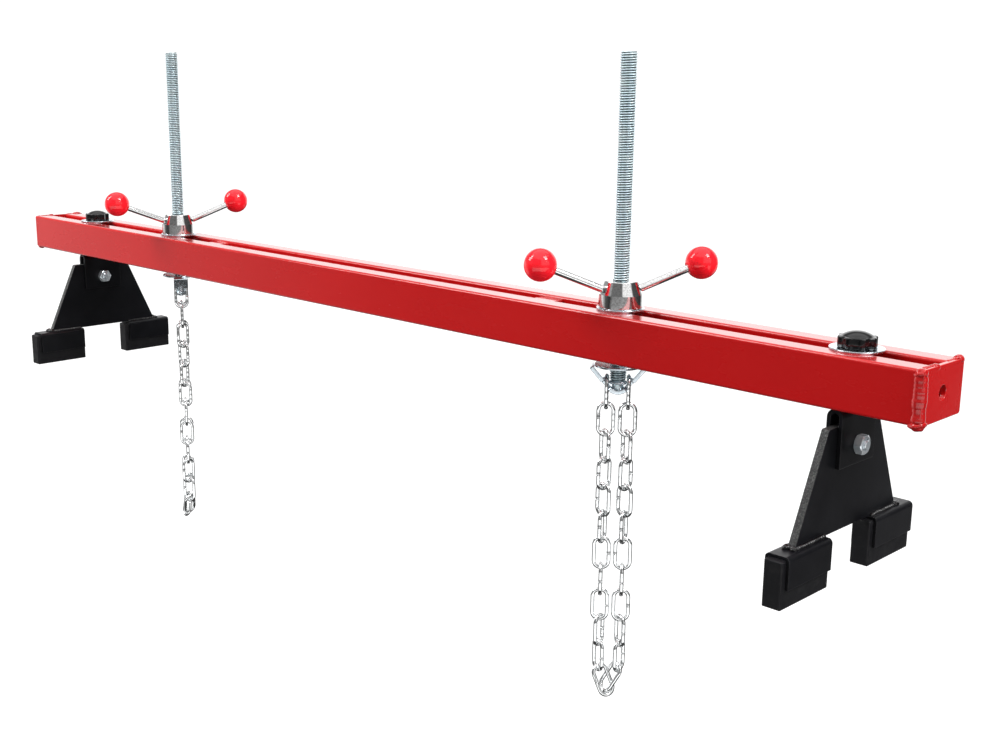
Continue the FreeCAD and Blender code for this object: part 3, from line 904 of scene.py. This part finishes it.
def chain_saddle(side, azimuth):
    """Flat bar bent to a V; links hang in its notched necks."""
    node = "chain_saddle_" + side
    hub = middle_of("thrust_washer_" + side)
    spread = Vector((math.cos(azimuth), math.sin(azimuth), 0))
    across = Vector((-math.sin(azimuth), math.cos(azimuth), 0))
    path = bar_path()
    half_t = 2.25 * MM
    edge_r = 0.7 * MM
    bm = bmesh.new()
    rings = []
    for i, p in enumerate(path):
        before = path[max(0, i - 1)]
        after = path[min(len(path) - 1, i + 1)]
        t = (after - before).normalized()
        n = Vector((-t.y, t.x))
        w = saddle_width(p.x)
        from_end = min(i, len(path) - 1 - i)
        shrink = 0.5 * MM if from_end == 0 else 0.0
        corners = [(-w + shrink, -half_t + shrink), (w - shrink, -half_t + shrink),
                   (w - shrink, half_t - shrink), (-w + shrink, half_t - shrink)]
        ring = []
        for u, v in rounded_outline(corners, edge_r, steps=3):
            flat = p + n * v
            ring.append(bm.verts.new(Vector((hub.x, 0, 0)) + spread * flat.x + across * u
                                     + Vector((0, 0, flat.y))))
        rings.append(ring)
    for a, b in zip(rings, rings[1:]):
        skin(bm, a, b)
    bm.faces.new(rings[0])
    bm.faces.new(rings[-1])
    return keep_flats(piece(node + "_bar", bm, ZINC, node, sharp=40))


def saddle_weld(side):
    """Weld that holds the screw in the saddle: a ring inside and a lump below."""
    hub = middle_of("thrust_washer_" + side)
    low, _ = corners_of("lift_screw_" + side)
    bm = bmesh.new()
    blob(bm, (hub.x, 0, low.z + 0.6 * MM), (6.4 * MM, 6.4 * MM, 2.6 * MM), 5)
    path = [Vector((hub.x + 7.4 * MM * math.cos(a), 7.4 * MM * math.sin(a), low.z + 10.5 * MM))
            for a in [2 * math.pi * k / 40 for k in range(41)]]
    weld_bead(bm, path, 2.0 * MM, 9)
    return piece("saddle_weld_" + side, bm, ZINC, body="lift_screw_" + side,
                 sharp=60)


# ------------------------------------------------------------------ chain

LINK_R = (LINK_INNER_W + WIRE_D) / 2
LINK_STRAIGHT = LINK_INNER_L + WIRE_D - 2 * LINK_R
LINK_PITCH = LINK_INNER_L - LINK_GAP
STRAND_OFFSET = 11.5 * MM
TOP_WIRE_Z = -70.6 * MM
FIRST_LINKS = range(1, 2)
UPPER_LINKS = range(2, 8)
LOWER_LINKS = range(8, 12)
CHAIN_DRIFT = {
    -1: (0, 0, 30, 44, 50, 70, 90, 90, 90, 62, 33.75),
    1: (0, 0, 30, 46, 56, 72, 90, 90, 92, 119, 146.25),
}
CLOSING_LINKS = {
    -1: {"turn": 28.0, "lean": 22.6, "tip": -9.2, "lift": 0.4, "offset": -1.0},
    1: {"turn": -52.0, "lean": -29.6, "tip": 0.0, "lift": 2.1, "offset": -0.25},
}


def link_path():
    """Closed centre line of a link in the YZ plane, hanging from the origin."""
    points = []
    arc = 22
    straight = 40
    for k in range(arc):
        a = math.pi * k / arc
        points.append(Vector((0, -LINK_R * math.cos(a), -LINK_R + LINK_R * math.sin(a))))
    for k in range(straight):
        points.append(Vector((0, LINK_R, -LINK_R - LINK_STRAIGHT * k / straight)))
    for k in range(arc):
        a = math.pi * k / arc
        points.append(Vector((0, LINK_R * math.cos(a),
                              -LINK_R - LINK_STRAIGHT - LINK_R * math.sin(a))))
    for k in range(straight):
        points.append(Vector((0, -LINK_R, -LINK_R - LINK_STRAIGHT * (1 - k / straight))))
    return points


def chain_link(bm, transform, seed):
    """Welded round-wire link, with the butt weld's ring half-way down one leg."""
    rng = random.Random(seed)
    path = link_path()
    weld_z = -LINK_R - LINK_STRAIGHT * rng.uniform(0.42, 0.58)
    weld_side = rng.choice((-1, 1))
    radii = []
    for p in path:
        r = WIRE_D / 2 * (1 + 0.012 * math.sin(p.z * 900 + seed))
        if p.y * weld_side > 0.99 * LINK_R:
            d = abs(p.z - weld_z)
            r += 0.30 * MM * math.exp(-((d / (1.9 * MM)) ** 2))
            r -= 0.55 * MM * math.exp(-((d / (0.45 * MM)) ** 2))
        radii.append(r)
    frames = frames_along(path, True)
    rings = []
    for p, r, (_, n, b) in zip(path, radii, frames):
        ring = []
        for k in range(18):
            a = 2 * math.pi * k / 18
            local = p + n * r * math.cos(a) + b * r * math.sin(a)
            ring.append(bm.verts.new(transform @ local))
        rings.append(ring)
    for a, b in zip(rings, rings[1:] + rings[:1]):
        skin(bm, a, b)


def link_transform(number, strand, hub, azimuth):
    twist = 90.0 * (number - 1) + CHAIN_DRIFT[strand][number - 1]
    place = Vector((strand * STRAND_OFFSET, 0, TOP_WIRE_Z - (number - 1) * LINK_PITCH))
    base = Matrix.Translation(Vector((hub.x, 0, 0))) @ Matrix.Rotation(azimuth, 4, "Z")
    return base @ Matrix.Translation(place) @ Matrix.Rotation(math.radians(twist), 4, "Z")


def closing_transform(strand, hub, azimuth):
    pose = CLOSING_LINKS[strand]
    number = LOWER_LINKS[-1] + 1
    turn = math.radians(90.0 * (number - 1) + pose["turn"])
    place = Vector((strand * STRAND_OFFSET, pose["offset"] * MM,
                    TOP_WIRE_Z - (number - 1) * LINK_PITCH + pose["lift"] * MM))
    base = Matrix.Translation(Vector((hub.x, 0, 0))) @ Matrix.Rotation(azimuth, 4, "Z")
    return (base @ Matrix.Translation(place) @ Matrix.Rotation(math.radians(pose["tip"]), 4, "X")
            @ Matrix.Rotation(math.radians(-pose["lean"]), 4, "Y")
            @ Matrix.Rotation(turn, 4, "Z"))


def chain(side, azimuth):
    hub = middle_of("thrust_washer_" + side)
    side_seed = 100 if side == "left" else 400
    groups = {"chain_first_links_": FIRST_LINKS, "chain_upper_": UPPER_LINKS,
              "chain_lower_": LOWER_LINKS}
    for prefix, numbers in groups.items():
        node = prefix + side
        bm = bmesh.new()
        for number in numbers:
            for strand in (-1, 1):
                seed = side_seed + number * 2 + strand
                chain_link(bm, link_transform(number, strand, hub, azimuth), seed)
        if prefix == "chain_lower_":
            for strand in (-1, 1):
                chain_link(bm, closing_transform(strand, hub, azimuth), side_seed + 50 + strand)
        piece(node + "_wire", bm, CHAIN, node, sharp=60)


# ------------------------------------------------------------------ feet

def star_knob(side):
    """Fluted knob: scalloped skirt with a rolled top rim, and a shallow dome."""
    node = "star_knob_" + side
    low, high = corners_of(node)
    c = middle_of(node)
    outer = (high.x - low.x) / 2
    flutes, flute_r, depth = 8, 9.0 * MM, 1.9 * MM
    skirt_top = low.z + 10.5 * MM
    count = flutes * 24
    far = outer + flute_r - depth

    def rim(turn):
        """Distance from the axis to the skirt: ridges with round scoops between them."""
        part = (turn + math.pi / flutes) % (2 * math.pi / flutes) - math.pi / flutes
        part = math.pi / flutes - abs(part)
        inside = flute_r ** 2 - (far * math.sin(part)) ** 2
        if inside <= 0:
            return outer
        scoop = far * math.cos(part) - math.sqrt(inside)
        soft = 0.5 * MM
        gap = (outer - scoop) / soft
        if gap > 4:
            return scoop
        return outer - soft * math.log(1 + math.exp(gap)) + soft * math.log(2) * 0.3

    def ring(bm, height, shrink, blend=0.0, to_r=0.0):
        row = []
        for k in range(count):
            a = 2 * math.pi * k / count
            r = (rim(a) - shrink) * (1 - blend) + to_r * blend
            row.append(bm.verts.new((c.x + r * math.cos(a), r * math.sin(a), height)))
        return row

    bm = bmesh.new()
    rows = [ring(bm, low.z, 1.0 * MM), ring(bm, low.z + 0.4 * MM, 0.3 * MM),
            ring(bm, low.z + 1.0 * MM, 0.0), ring(bm, low.z + 5 * MM, 0.0)]
    roll = 1.3 * MM
    for k in range(7):
        a = math.pi / 2 * k / 6
        rows.append(ring(bm, skirt_top - roll + roll * math.sin(a), roll * (1 - math.cos(a))))
    rows.append(ring(bm, skirt_top + 0.05 * MM, 2.2 * MM, 0.6, 15.2 * MM))
    dome_r, dome_h = 14.6 * MM, high.z - skirt_top
    for k in range(10):
        share = 1 - k / 10
        lift = dome_h * (1 - share ** 2.2)
        rows.append(ring(bm, skirt_top + 0.1 * MM + lift * 0.98, 0, 1.0, dome_r * share))
    for a, b in zip(rows, rows[1:]):
        skin(bm, a, b)
    bm.faces.new(rows[0])
    tip = bm.verts.new((c.x, 0, high.z))
    fan(bm, rows[-1], tip)
    return piece(node + "_grip", bm, KNOB, node, sharp=50)


def clamp_stud(side):
    node = "clamp_stud_" + side
    low, high = corners_of(node)
    c = middle_of(node)
    bm = bmesh.new()
    threaded_rod(bm, 4 * MM, low.z, high.z, THREAD_M8, Vector((c.x, 0, 0)), per_pitch=8, sides=28,
                 groove_slot=1)
    return piece(node + "_thread", bm, [ZINC_SCREW, ZINC_GROOVE_SHADE], node, sharp=40)


def clevis(side):
    """Strap bent to an upside-down U, with soft edges."""
    node = "clevis_" + side
    low, high = corners_of(node)
    c = middle_of(node)
    half = (high.x - low.x) / 2
    t = 4 * MM
    inner = half - t

    def loops(inset):
        outline = []
        steps = 24
        r_out, r_in = half - inset, inner + inset
        centre = high.z - half
        foot = low.z + inset
        edge_r = 0.9 * MM
        quarter = [math.pi / 2 * k / 4 for k in range(5)]
        for a in quarter:
            outline.append((r_out - edge_r * (1 - math.sin(a)), foot + edge_r * (1 - math.cos(a))))
        for k in range(steps + 1):
            a = math.pi * k / steps
            outline.append((r_out * math.cos(a), centre + r_out * math.sin(a)))
        for a in reversed(quarter):
            outline.append((-r_out + edge_r * (1 - math.sin(a)), foot + edge_r * (1 - math.cos(a))))
        outline.append((-r_in, foot))
        for k in range(steps + 1):
            a = math.pi * (1 - k / steps)
            outline.append((r_in * math.cos(a), centre + r_in * math.sin(a)))
        outline.append((r_in, foot))
        return [[(c.x + u, v) for u, v in outline]]

    bm = bmesh.new()
    slab(bm, loops, rounded_levels(low.y, high.y, 0.5 * MM, 3), lambda u, v, h: (u, h, v))
    return keep_flats(piece(node + "_strap", bm, BLACK, node))


def pivot_bolt(side):
    """Hexagon bolt through the clevis and plate, its threaded end past the nut."""
    node = "pivot_bolt_" + side
    low, high = corners_of(node)
    c = middle_of(node)
    nut_low, nut_high = corners_of("pivot_nut_" + side)
    head_h = 6.4 * MM
    to_minus_x = along(Vector((low.x + head_h, 0, c.z)), Vector((-1, 0, 0)))
    to_plus_x = along(Vector((0, 0, c.z)), Vector((1, 0, 0)))
    turned = Matrix.Rotation(math.radians(11), 3, "Z")
    bm = bmesh.new()
    hexagon(bm, 8.5 * MM, head_h, 0, 8.1 * MM, lambda p: to_minus_x(turned @ p))
    profile = [(0, low.x + head_h - 1 * MM), (5 * MM, low.x + head_h - 1 * MM),
               (5 * MM, nut_low.x - 1 * MM), (0, nut_low.x - 1 * MM)]
    lathe(bm, profile, 40, to_plus_x)
    threaded_rod(bm, 5 * MM, nut_low.x - 2 * MM, high.x, THREAD_M10, Vector(), to_plus_x,
                 per_pitch=8, sides=32)
    return piece(node + "_hex", bm, ZINC_NUT, node, sharp=28)


def pivot_nut(side):
    node = "pivot_nut_" + side
    low, high = corners_of(node)
    c = middle_of(node)
    place = along(Vector((low.x, 0, c.z)), Vector((1, 0, 0)))
    turned = Matrix.Rotation(math.radians(0), 3, "Z")
    bm = bmesh.new()
    hexagon(bm, 8.5 * MM, high.x - low.x, 4.9 * MM, 8.1 * MM, lambda p: place(turned @ p), True)
    return piece(node + "_hex", bm, ZINC_NUT, node, sharp=28)


def foot_plate(side):
    """Flame-cut trapezoid plate; its narrow faces carry the cut-edge finish."""
    node = "foot_plate_" + side
    low, high = corners_of(node)
    top_half = 45 * MM
    corners = [(low.y, low.z), (high.y, low.z), (top_half, high.z), (-top_half, high.z)]
    bm = bmesh.new()
    slab(bm, lambda inset: [rounded_outline(corners, [1 * MM, 1 * MM, 2 * MM, 2 * MM], inset, 4)],
         rounded_levels(low.x, high.x, 0.6 * MM, 3), lambda u, v, h: (h, u, v))
    bm.faces.ensure_lookup_table()
    bm.normal_update()
    for face in bm.faces:
        if abs(face.normal.x) < 0.3:
            face.material_index = 1
    return keep_flats(piece(node + "_plate", bm, [BLACK, CUT], node))


def pad_channels(side):
    """Two inverted channels with rounded shoulders."""
    node = "pad_channels_" + side
    low, high = corners_of(node)
    c = middle_of(node)
    half = (high.x - low.x) / 2
    t = 3 * MM
    inner_y = 40 * MM
    bm = bmesh.new()

    def loops(inset):
        o = half
        i = half - t
        corners = [(o, low.z), (o, high.z), (-o, high.z), (-o, low.z),
                   (-i, low.z), (-i, high.z - t), (i, high.z - t), (i, low.z)]
        radii = [0.4 * MM, 4.5 * MM, 4.5 * MM, 0.4 * MM, 0.4 * MM, 1.5 * MM, 1.5 * MM, 0.4 * MM]
        return [[(c.x + u, v) for u, v in rounded_outline(corners, radii, inset, 6)]]

    for y0, y1 in ((low.y, -inner_y), (inner_y, high.y)):
        slab(bm, loops, rounded_levels(y0, y1, 0.35 * MM, 2), lambda u, v, h: (u, h, v))
    return keep_flats(piece(node + "_pair", bm, BLACK, node))


def rubber_pads(side):
    """Two moulded blocks with well-rounded ends."""
    node = "rubber_pads_" + side
    low, high = corners_of(node)
    c = middle_of(node)
    length = 80 * MM
    half = (high.x - low.x) / 2
    bm = bmesh.new()
    corners = [(c.x - half, low.z), (c.x + half, low.z), (c.x + half, high.z), (c.x - half, high.z)]
    for y0, y1 in ((low.y, low.y + length), (high.y - length, high.y)):
        slab(bm, lambda inset: [rounded_outline(corners, [1.2 * MM, 1.2 * MM, 2 * MM, 2 * MM],
                                                inset, 5)],
             rounded_levels(y0, y1, 1.8 * MM, 5), lambda u, v, h: (u, h, v))
    return keep_flats(piece(node + "_blocks", bm, RUBBER, node))


def foot_welds(side):
    """Beads on both sides of the plate along each channel, lumpy at the outer corners."""
    c = middle_of("foot_plate_" + side)
    low, high = corners_of("foot_plate_" + side)
    bm = bmesh.new()
    seed = 210 if side == "right" else 250
    plate_end = high.y
    for y_sign in (-1, 1):
        for x_sign in (-1, 1):
            x = c.x + x_sign * 4.8 * MM
            weld_bead(bm, [(x, y_sign * 41 * MM, low.z + 0.5 * MM),
                           (x, y_sign * plate_end, low.z + 0.5 * MM)],
                      2.6 * MM, seed + x_sign + 3 * y_sign, pool=0.3)
            blob(bm, (c.x + x_sign * 4.0 * MM, y_sign * (plate_end + 1.5 * MM), low.z + 0.9 * MM),
                 (3.6 * MM, 4.6 * MM, 3.0 * MM), seed + 4 + y_sign + x_sign)
        weld_bead(bm, [(c.x - 4.5 * MM, y_sign * (plate_end + 1 * MM), low.z + 0.6 * MM),
                       (c.x + 4.5 * MM, y_sign * (plate_end + 1 * MM), low.z + 0.6 * MM)],
                  3.0 * MM, seed + 9 + y_sign, pool=0.3)
    return piece("foot_welds_" + side, bm, BLACK_POOLED, body="foot_plate_" + side,
                 sharp=60)


# ------------------------------------------------------------------ the whole object

def joint_azimuth(name):
    """Direction of a hinge's axis around Z."""
    for joint in frame["joints"]:
        if joint["name"] == name:
            return math.atan2(joint["axis"][1], joint["axis"][0])
    raise ValueError(name)


def build_beam():
    rail("front_rail")
    rail("rear_rail")
    for side in SIDES:
        end_plate(side)
        slot_spacer(side)
        end_welds(side)
        spacer_welds(side)


def build_lift_unit(side):
    azimuth = joint_azimuth("chain_swing_" + side)
    washer("thrust_washer_" + side)
    washer("saddle_washer_" + side)
    hand_nut(side)
    lever_rods(side)
    ball_knobs(side)
    lift_screw(side)
    chain_saddle(side, azimuth)
    saddle_weld(side)
    chain(side, azimuth)


def build_foot(side):
    washer("foot_washer_" + side)
    star_knob(side)
    clamp_stud(side)
    clevis(side)
    pivot_bolt(side)
    pivot_nut(side)
    foot_plate(side)
    pad_channels(side)
    rubber_pads(side)
    foot_welds(side)


build_beam()
for station in SIDES:
    build_lift_unit(station)
    build_foot(station)


# ------------------------------------------------------------------ stage, light, camera

FLOOR_Z = -0.70


def add_object(name, data):
    obj = bpy.data.objects.new(name, data)
    bpy.context.scene.collection.objects.link(obj)
    return obj


def backdrop():
    """White floor that curves up into a wall far behind the object and glows evenly."""
    s = Shader("backdrop_paper", (0.20, 0.20, 0.20), roughness=0.9)
    s.colour(s.mix(s.noise(3.0, 4.0), (0.19, 0.19, 0.19), (0.21, 0.21, 0.21)))
    s.bsdf.inputs["Emission Color"].default_value = (1, 1, 1, 1)
    seen = s.tree.nodes.new("ShaderNodeLightPath").outputs["Is Camera Ray"]
    s.link(s.ramp(seen, 0.0, 1.0, 0.30, 0.95), s.bsdf.inputs["Emission Strength"])
    bm = bmesh.new()
    profile = [(-14.0, FLOOR_Z), (4.0, FLOOR_Z)]
    for k in range(1, 13):
        a = math.pi / 2 * k / 12
        profile.append((4.0 + 3.0 * math.sin(a), FLOOR_Z + 3.0 * (1 - math.cos(a))))
    profile.append((7.0, 9.0))
    view = Matrix.Rotation(math.radians(44), 3, "Z")
    rows = []
    for y, z in profile:
        rows.append([bm.verts.new(view @ Vector((x, y, z))) for x in (-16.0, 16.0)])
    for a, b in zip(rows, rows[1:]):
        bm.faces.new((a[0], a[1], b[1], b[0]))
    mesh = bpy.data.meshes.new("backdrop")
    bm.to_mesh(mesh)
    bm.free()
    mesh.materials.append(s.material)
    mesh.shade_smooth()
    obj = add_object("backdrop", mesh)
    obj.visible_glossy = False


class Sky:
    """Studio surroundings drawn in the world shader, as a function of direction."""

    def __init__(self):
        world = bpy.data.worlds.new("studio")
        bpy.context.scene.world = world
        world.use_nodes = True
        self.tree = world.node_tree
        self.background = next(n for n in self.tree.nodes if n.type == "BACKGROUND")
        self.direction = self.tree.nodes.new("ShaderNodeTexCoord").outputs["Generated"]

    def math(self, operation, *values):
        node = self.tree.nodes.new("ShaderNodeMath")
        node.operation = operation
        for value, socket in zip(values, node.inputs):
            if isinstance(value, (int, float)):
                socket.default_value = value
            else:
                self.tree.links.new(value, socket)
        return node.outputs[0]

    def dot(self, axis):
        node = self.tree.nodes.new("ShaderNodeVectorMath")
        node.operation = "DOT_PRODUCT"
        self.tree.links.new(self.direction, node.inputs[0])
        node.inputs[1].default_value = axis
        return node.outputs["Value"]

    def smooth(self, value, low, high):
        """0 below low, 1 above high, with a smooth step between."""
        node = self.tree.nodes.new("ShaderNodeMapRange")
        node.interpolation_type = "SMOOTHSTEP"
        node.inputs["From Min"].default_value = low
        node.inputs["From Max"].default_value = high
        self.tree.links.new(value, node.inputs["Value"])
        return node.outputs["Result"]

    def rising(self, low, high, below, above):
        """Blends two colours where a direction's height passes from low to high."""
        node = self.tree.nodes.new("ShaderNodeMix")
        node.data_type = "RGBA"
        height = self.dot(Vector((0, 0, 1)))
        self.tree.links.new(self.smooth(height, low, high), node.inputs["Factor"])
        self.tree.links.new(below, node.inputs[6])
        self.tree.links.new(above, node.inputs[7])
        return node.outputs[2]

    def round_the_horizon(self, stops):
        """Brightness by the angle round Z from the camera's side, in degrees to the right."""
        turn = self.math("ARCTAN2", self.dot(SCREEN_RIGHT), self.dot(TO_CAMERA))
        share = self.math("MULTIPLY_ADD", turn, 1 / (2 * math.pi), 0.5)
        node = self.tree.nodes.new("ShaderNodeValToRGB")
        elements = node.color_ramp.elements
        while len(elements) < len(stops):
            elements.new(0.5)
        for element, (degrees, level) in zip(elements, stops):
            element.position = degrees / 360 + 0.5
            element.color = (level, level, level, 1)
        self.tree.links.new(share, node.inputs["Fac"])
        return node.outputs["Color"]

    def window(self, centre, half_width, half_height):
        """Soft-edged rectangular window seen in a direction; sizes are in degrees."""
        right = Vector((0, 0, 1)).cross(centre).normalized()
        up = centre.cross(right)
        ahead = self.dot(centre)
        mask = self.smooth(ahead, 0.0, 0.01)
        for axis, half in ((right, half_width), (up, half_height)):
            offset = self.math("ABSOLUTE", self.math("DIVIDE", self.dot(axis), ahead))
            limit = math.tan(math.radians(half))
            inside = self.math("SUBTRACT", 1.0, self.smooth(offset, limit * 0.93, limit * 1.07))
            mask = self.math("MULTIPLY", mask, inside)
        return mask


VIEW_AZIMUTH = math.radians(-46.1)
TO_CAMERA = Vector((math.cos(VIEW_AZIMUTH), math.sin(VIEW_AZIMUTH), 0))
SCREEN_RIGHT = Vector((-math.sin(VIEW_AZIMUTH), math.cos(VIEW_AZIMUTH), 0))


def direction_at(degrees_right, elevation):
    """Unit vector at an angle to the right of the camera's side and above the horizon."""
    a = math.radians(degrees_right)
    e = math.radians(elevation)
    flat = TO_CAMERA * math.cos(a) + SCREEN_RIGHT * math.sin(a)
    return flat * math.cos(e) + Vector((0, 0, math.sin(e)))


WINDOWS = ((-95, 36, 8, 14), (52, 51, 9, 10))


def world_light():
    """White studio with dark camera-side walls and two bright windows for reflections."""
    sky = Sky()
    floor_ring = sky.round_the_horizon([
        (-180, 0.05), (-140, 0.10), (-128, 0.9), (-106, 0.50), (-92, 0.05), (-66, 0.02),
        (-56, 1.2), (0, 1.6), (54, 1.4), (64, 0.03), (112, 0.02), (122, 0.65), (132, 0.65),
        (140, 0.10), (180, 0.05)])
    low_ring = sky.round_the_horizon([
        (-180, 1.5), (-128, 1.2), (-108, 0.55), (-92, 0.10), (-64, 0.03), (-50, 0.20),
        (0, 0.26), (40, 0.30), (66, 0.08), (116, 0.03), (130, 0.60), (146, 1.5), (180, 1.6)])
    high_ring = sky.round_the_horizon([
        (-180, 1.4), (-150, 1.0), (-136, 0.35), (-66, 0.35), (-58, 0.16), (0, 0.16),
        (8, 1.0), (58, 1.0), (66, 0.08), (114, 0.06), (130, 0.7), (145, 1.4), (180, 1.6)])
    upper_ring = sky.round_the_horizon([
        (-180, 0.3), (-136, 0.3), (-66, 0.35), (-58, 0.16), (0, 0.16),
        (8, 1.0), (58, 1.0), (66, 0.08), (114, 0.06), (130, 0.3), (180, 0.3)])
    shade = sky.round_the_horizon([(-180, 0.05), (180, 0.05)])
    ceiling = sky.round_the_horizon([(-180, 0.4), (180, 0.4)])
    for low, high, ring in ((-0.64, -0.56, floor_ring), (-0.25, -0.18, low_ring),
                            (0.0, 0.16, high_ring), (0.40, 0.50, upper_ring),
                            (0.66, 0.76, ceiling)):
        shade = sky.rising(low, high, shade, ring)
    rays = sky.tree.nodes.new("ShaderNodeLightPath").outputs
    to_white = sky.math("SUBTRACT", 0.95, shade)
    shade = sky.math("MULTIPLY_ADD", to_white, rays["Is Camera Ray"], shade)
    sky.tree.links.new(shade, sky.background.inputs["Color"])
    glossy = rays["Is Glossy Ray"]
    overhead = sky.smooth(sky.dot(Vector((0, 0, 1))), 0.66, 0.76)
    strength = sky.math("MULTIPLY_ADD", sky.math("MULTIPLY", overhead, glossy), 1.9, 1.0)
    for right, elevation, half_width, half_height in WINDOWS:
        mask = sky.window(direction_at(right, elevation), half_width, half_height)
        lit = sky.math("MULTIPLY", mask, sky.math("MULTIPLY", glossy, WINDOW_GLOW))
        strength = sky.math("ADD", strength, lit)
    sky.tree.links.new(strength, sky.background.inputs["Strength"])


WINDOW_GLOW = 26.0


def softbox(name, degrees_right, elevation, size, power):
    """Large soft lamp, aimed at the beam's middle. The world draws its reflection."""
    light = bpy.data.lights.new(name, "AREA")
    light.shape = "RECTANGLE"
    light.size = size[0]
    light.size_y = size[1]
    light.energy = power
    obj = add_object(name, light)
    direction = direction_at(degrees_right, elevation)
    obj.location = direction * 3.0
    obj.rotation_euler = (-direction).to_track_quat("-Z", "Y").to_euler()
    obj.visible_glossy = False
    return obj


def camera():
    """View from the front right, a little above the beam, at the photograph's angle."""
    yaw, pitch, roll = -0.7655, 0.2262, 0.0140
    forward = Vector((math.sin(yaw) * math.cos(pitch), math.cos(yaw) * math.cos(pitch),
                      -math.sin(pitch)))
    level = Vector((math.cos(yaw), -math.sin(yaw), 0))
    upright = level.cross(forward)
    right = level * math.cos(roll) + upright * math.sin(roll)
    up = upright * math.cos(roll) - level * math.sin(roll)
    data = bpy.data.cameras.new("camera")
    data.sensor_width = 36.0
    data.lens = 46.87
    data.clip_start = 0.01
    data.clip_end = 60.0
    obj = add_object("camera", data)
    turn = Matrix((right, up, -forward)).transposed()
    obj.matrix_world = Matrix.Translation(Vector((1.25306, -1.04540, 0.23511))) @ turn.to_4x4()
    bpy.context.scene.camera = obj


backdrop()
world_light()
softbox("softbox_left", -95, 32, (1.6, 2.2), 160)
softbox("softbox_right", 50, 36, (1.6, 2.2), 115)
softbox("softbox_top", 180, 80, (3.0, 2.0), 20)
camera()
bpy.context.scene.view_settings.view_transform = "Standard"
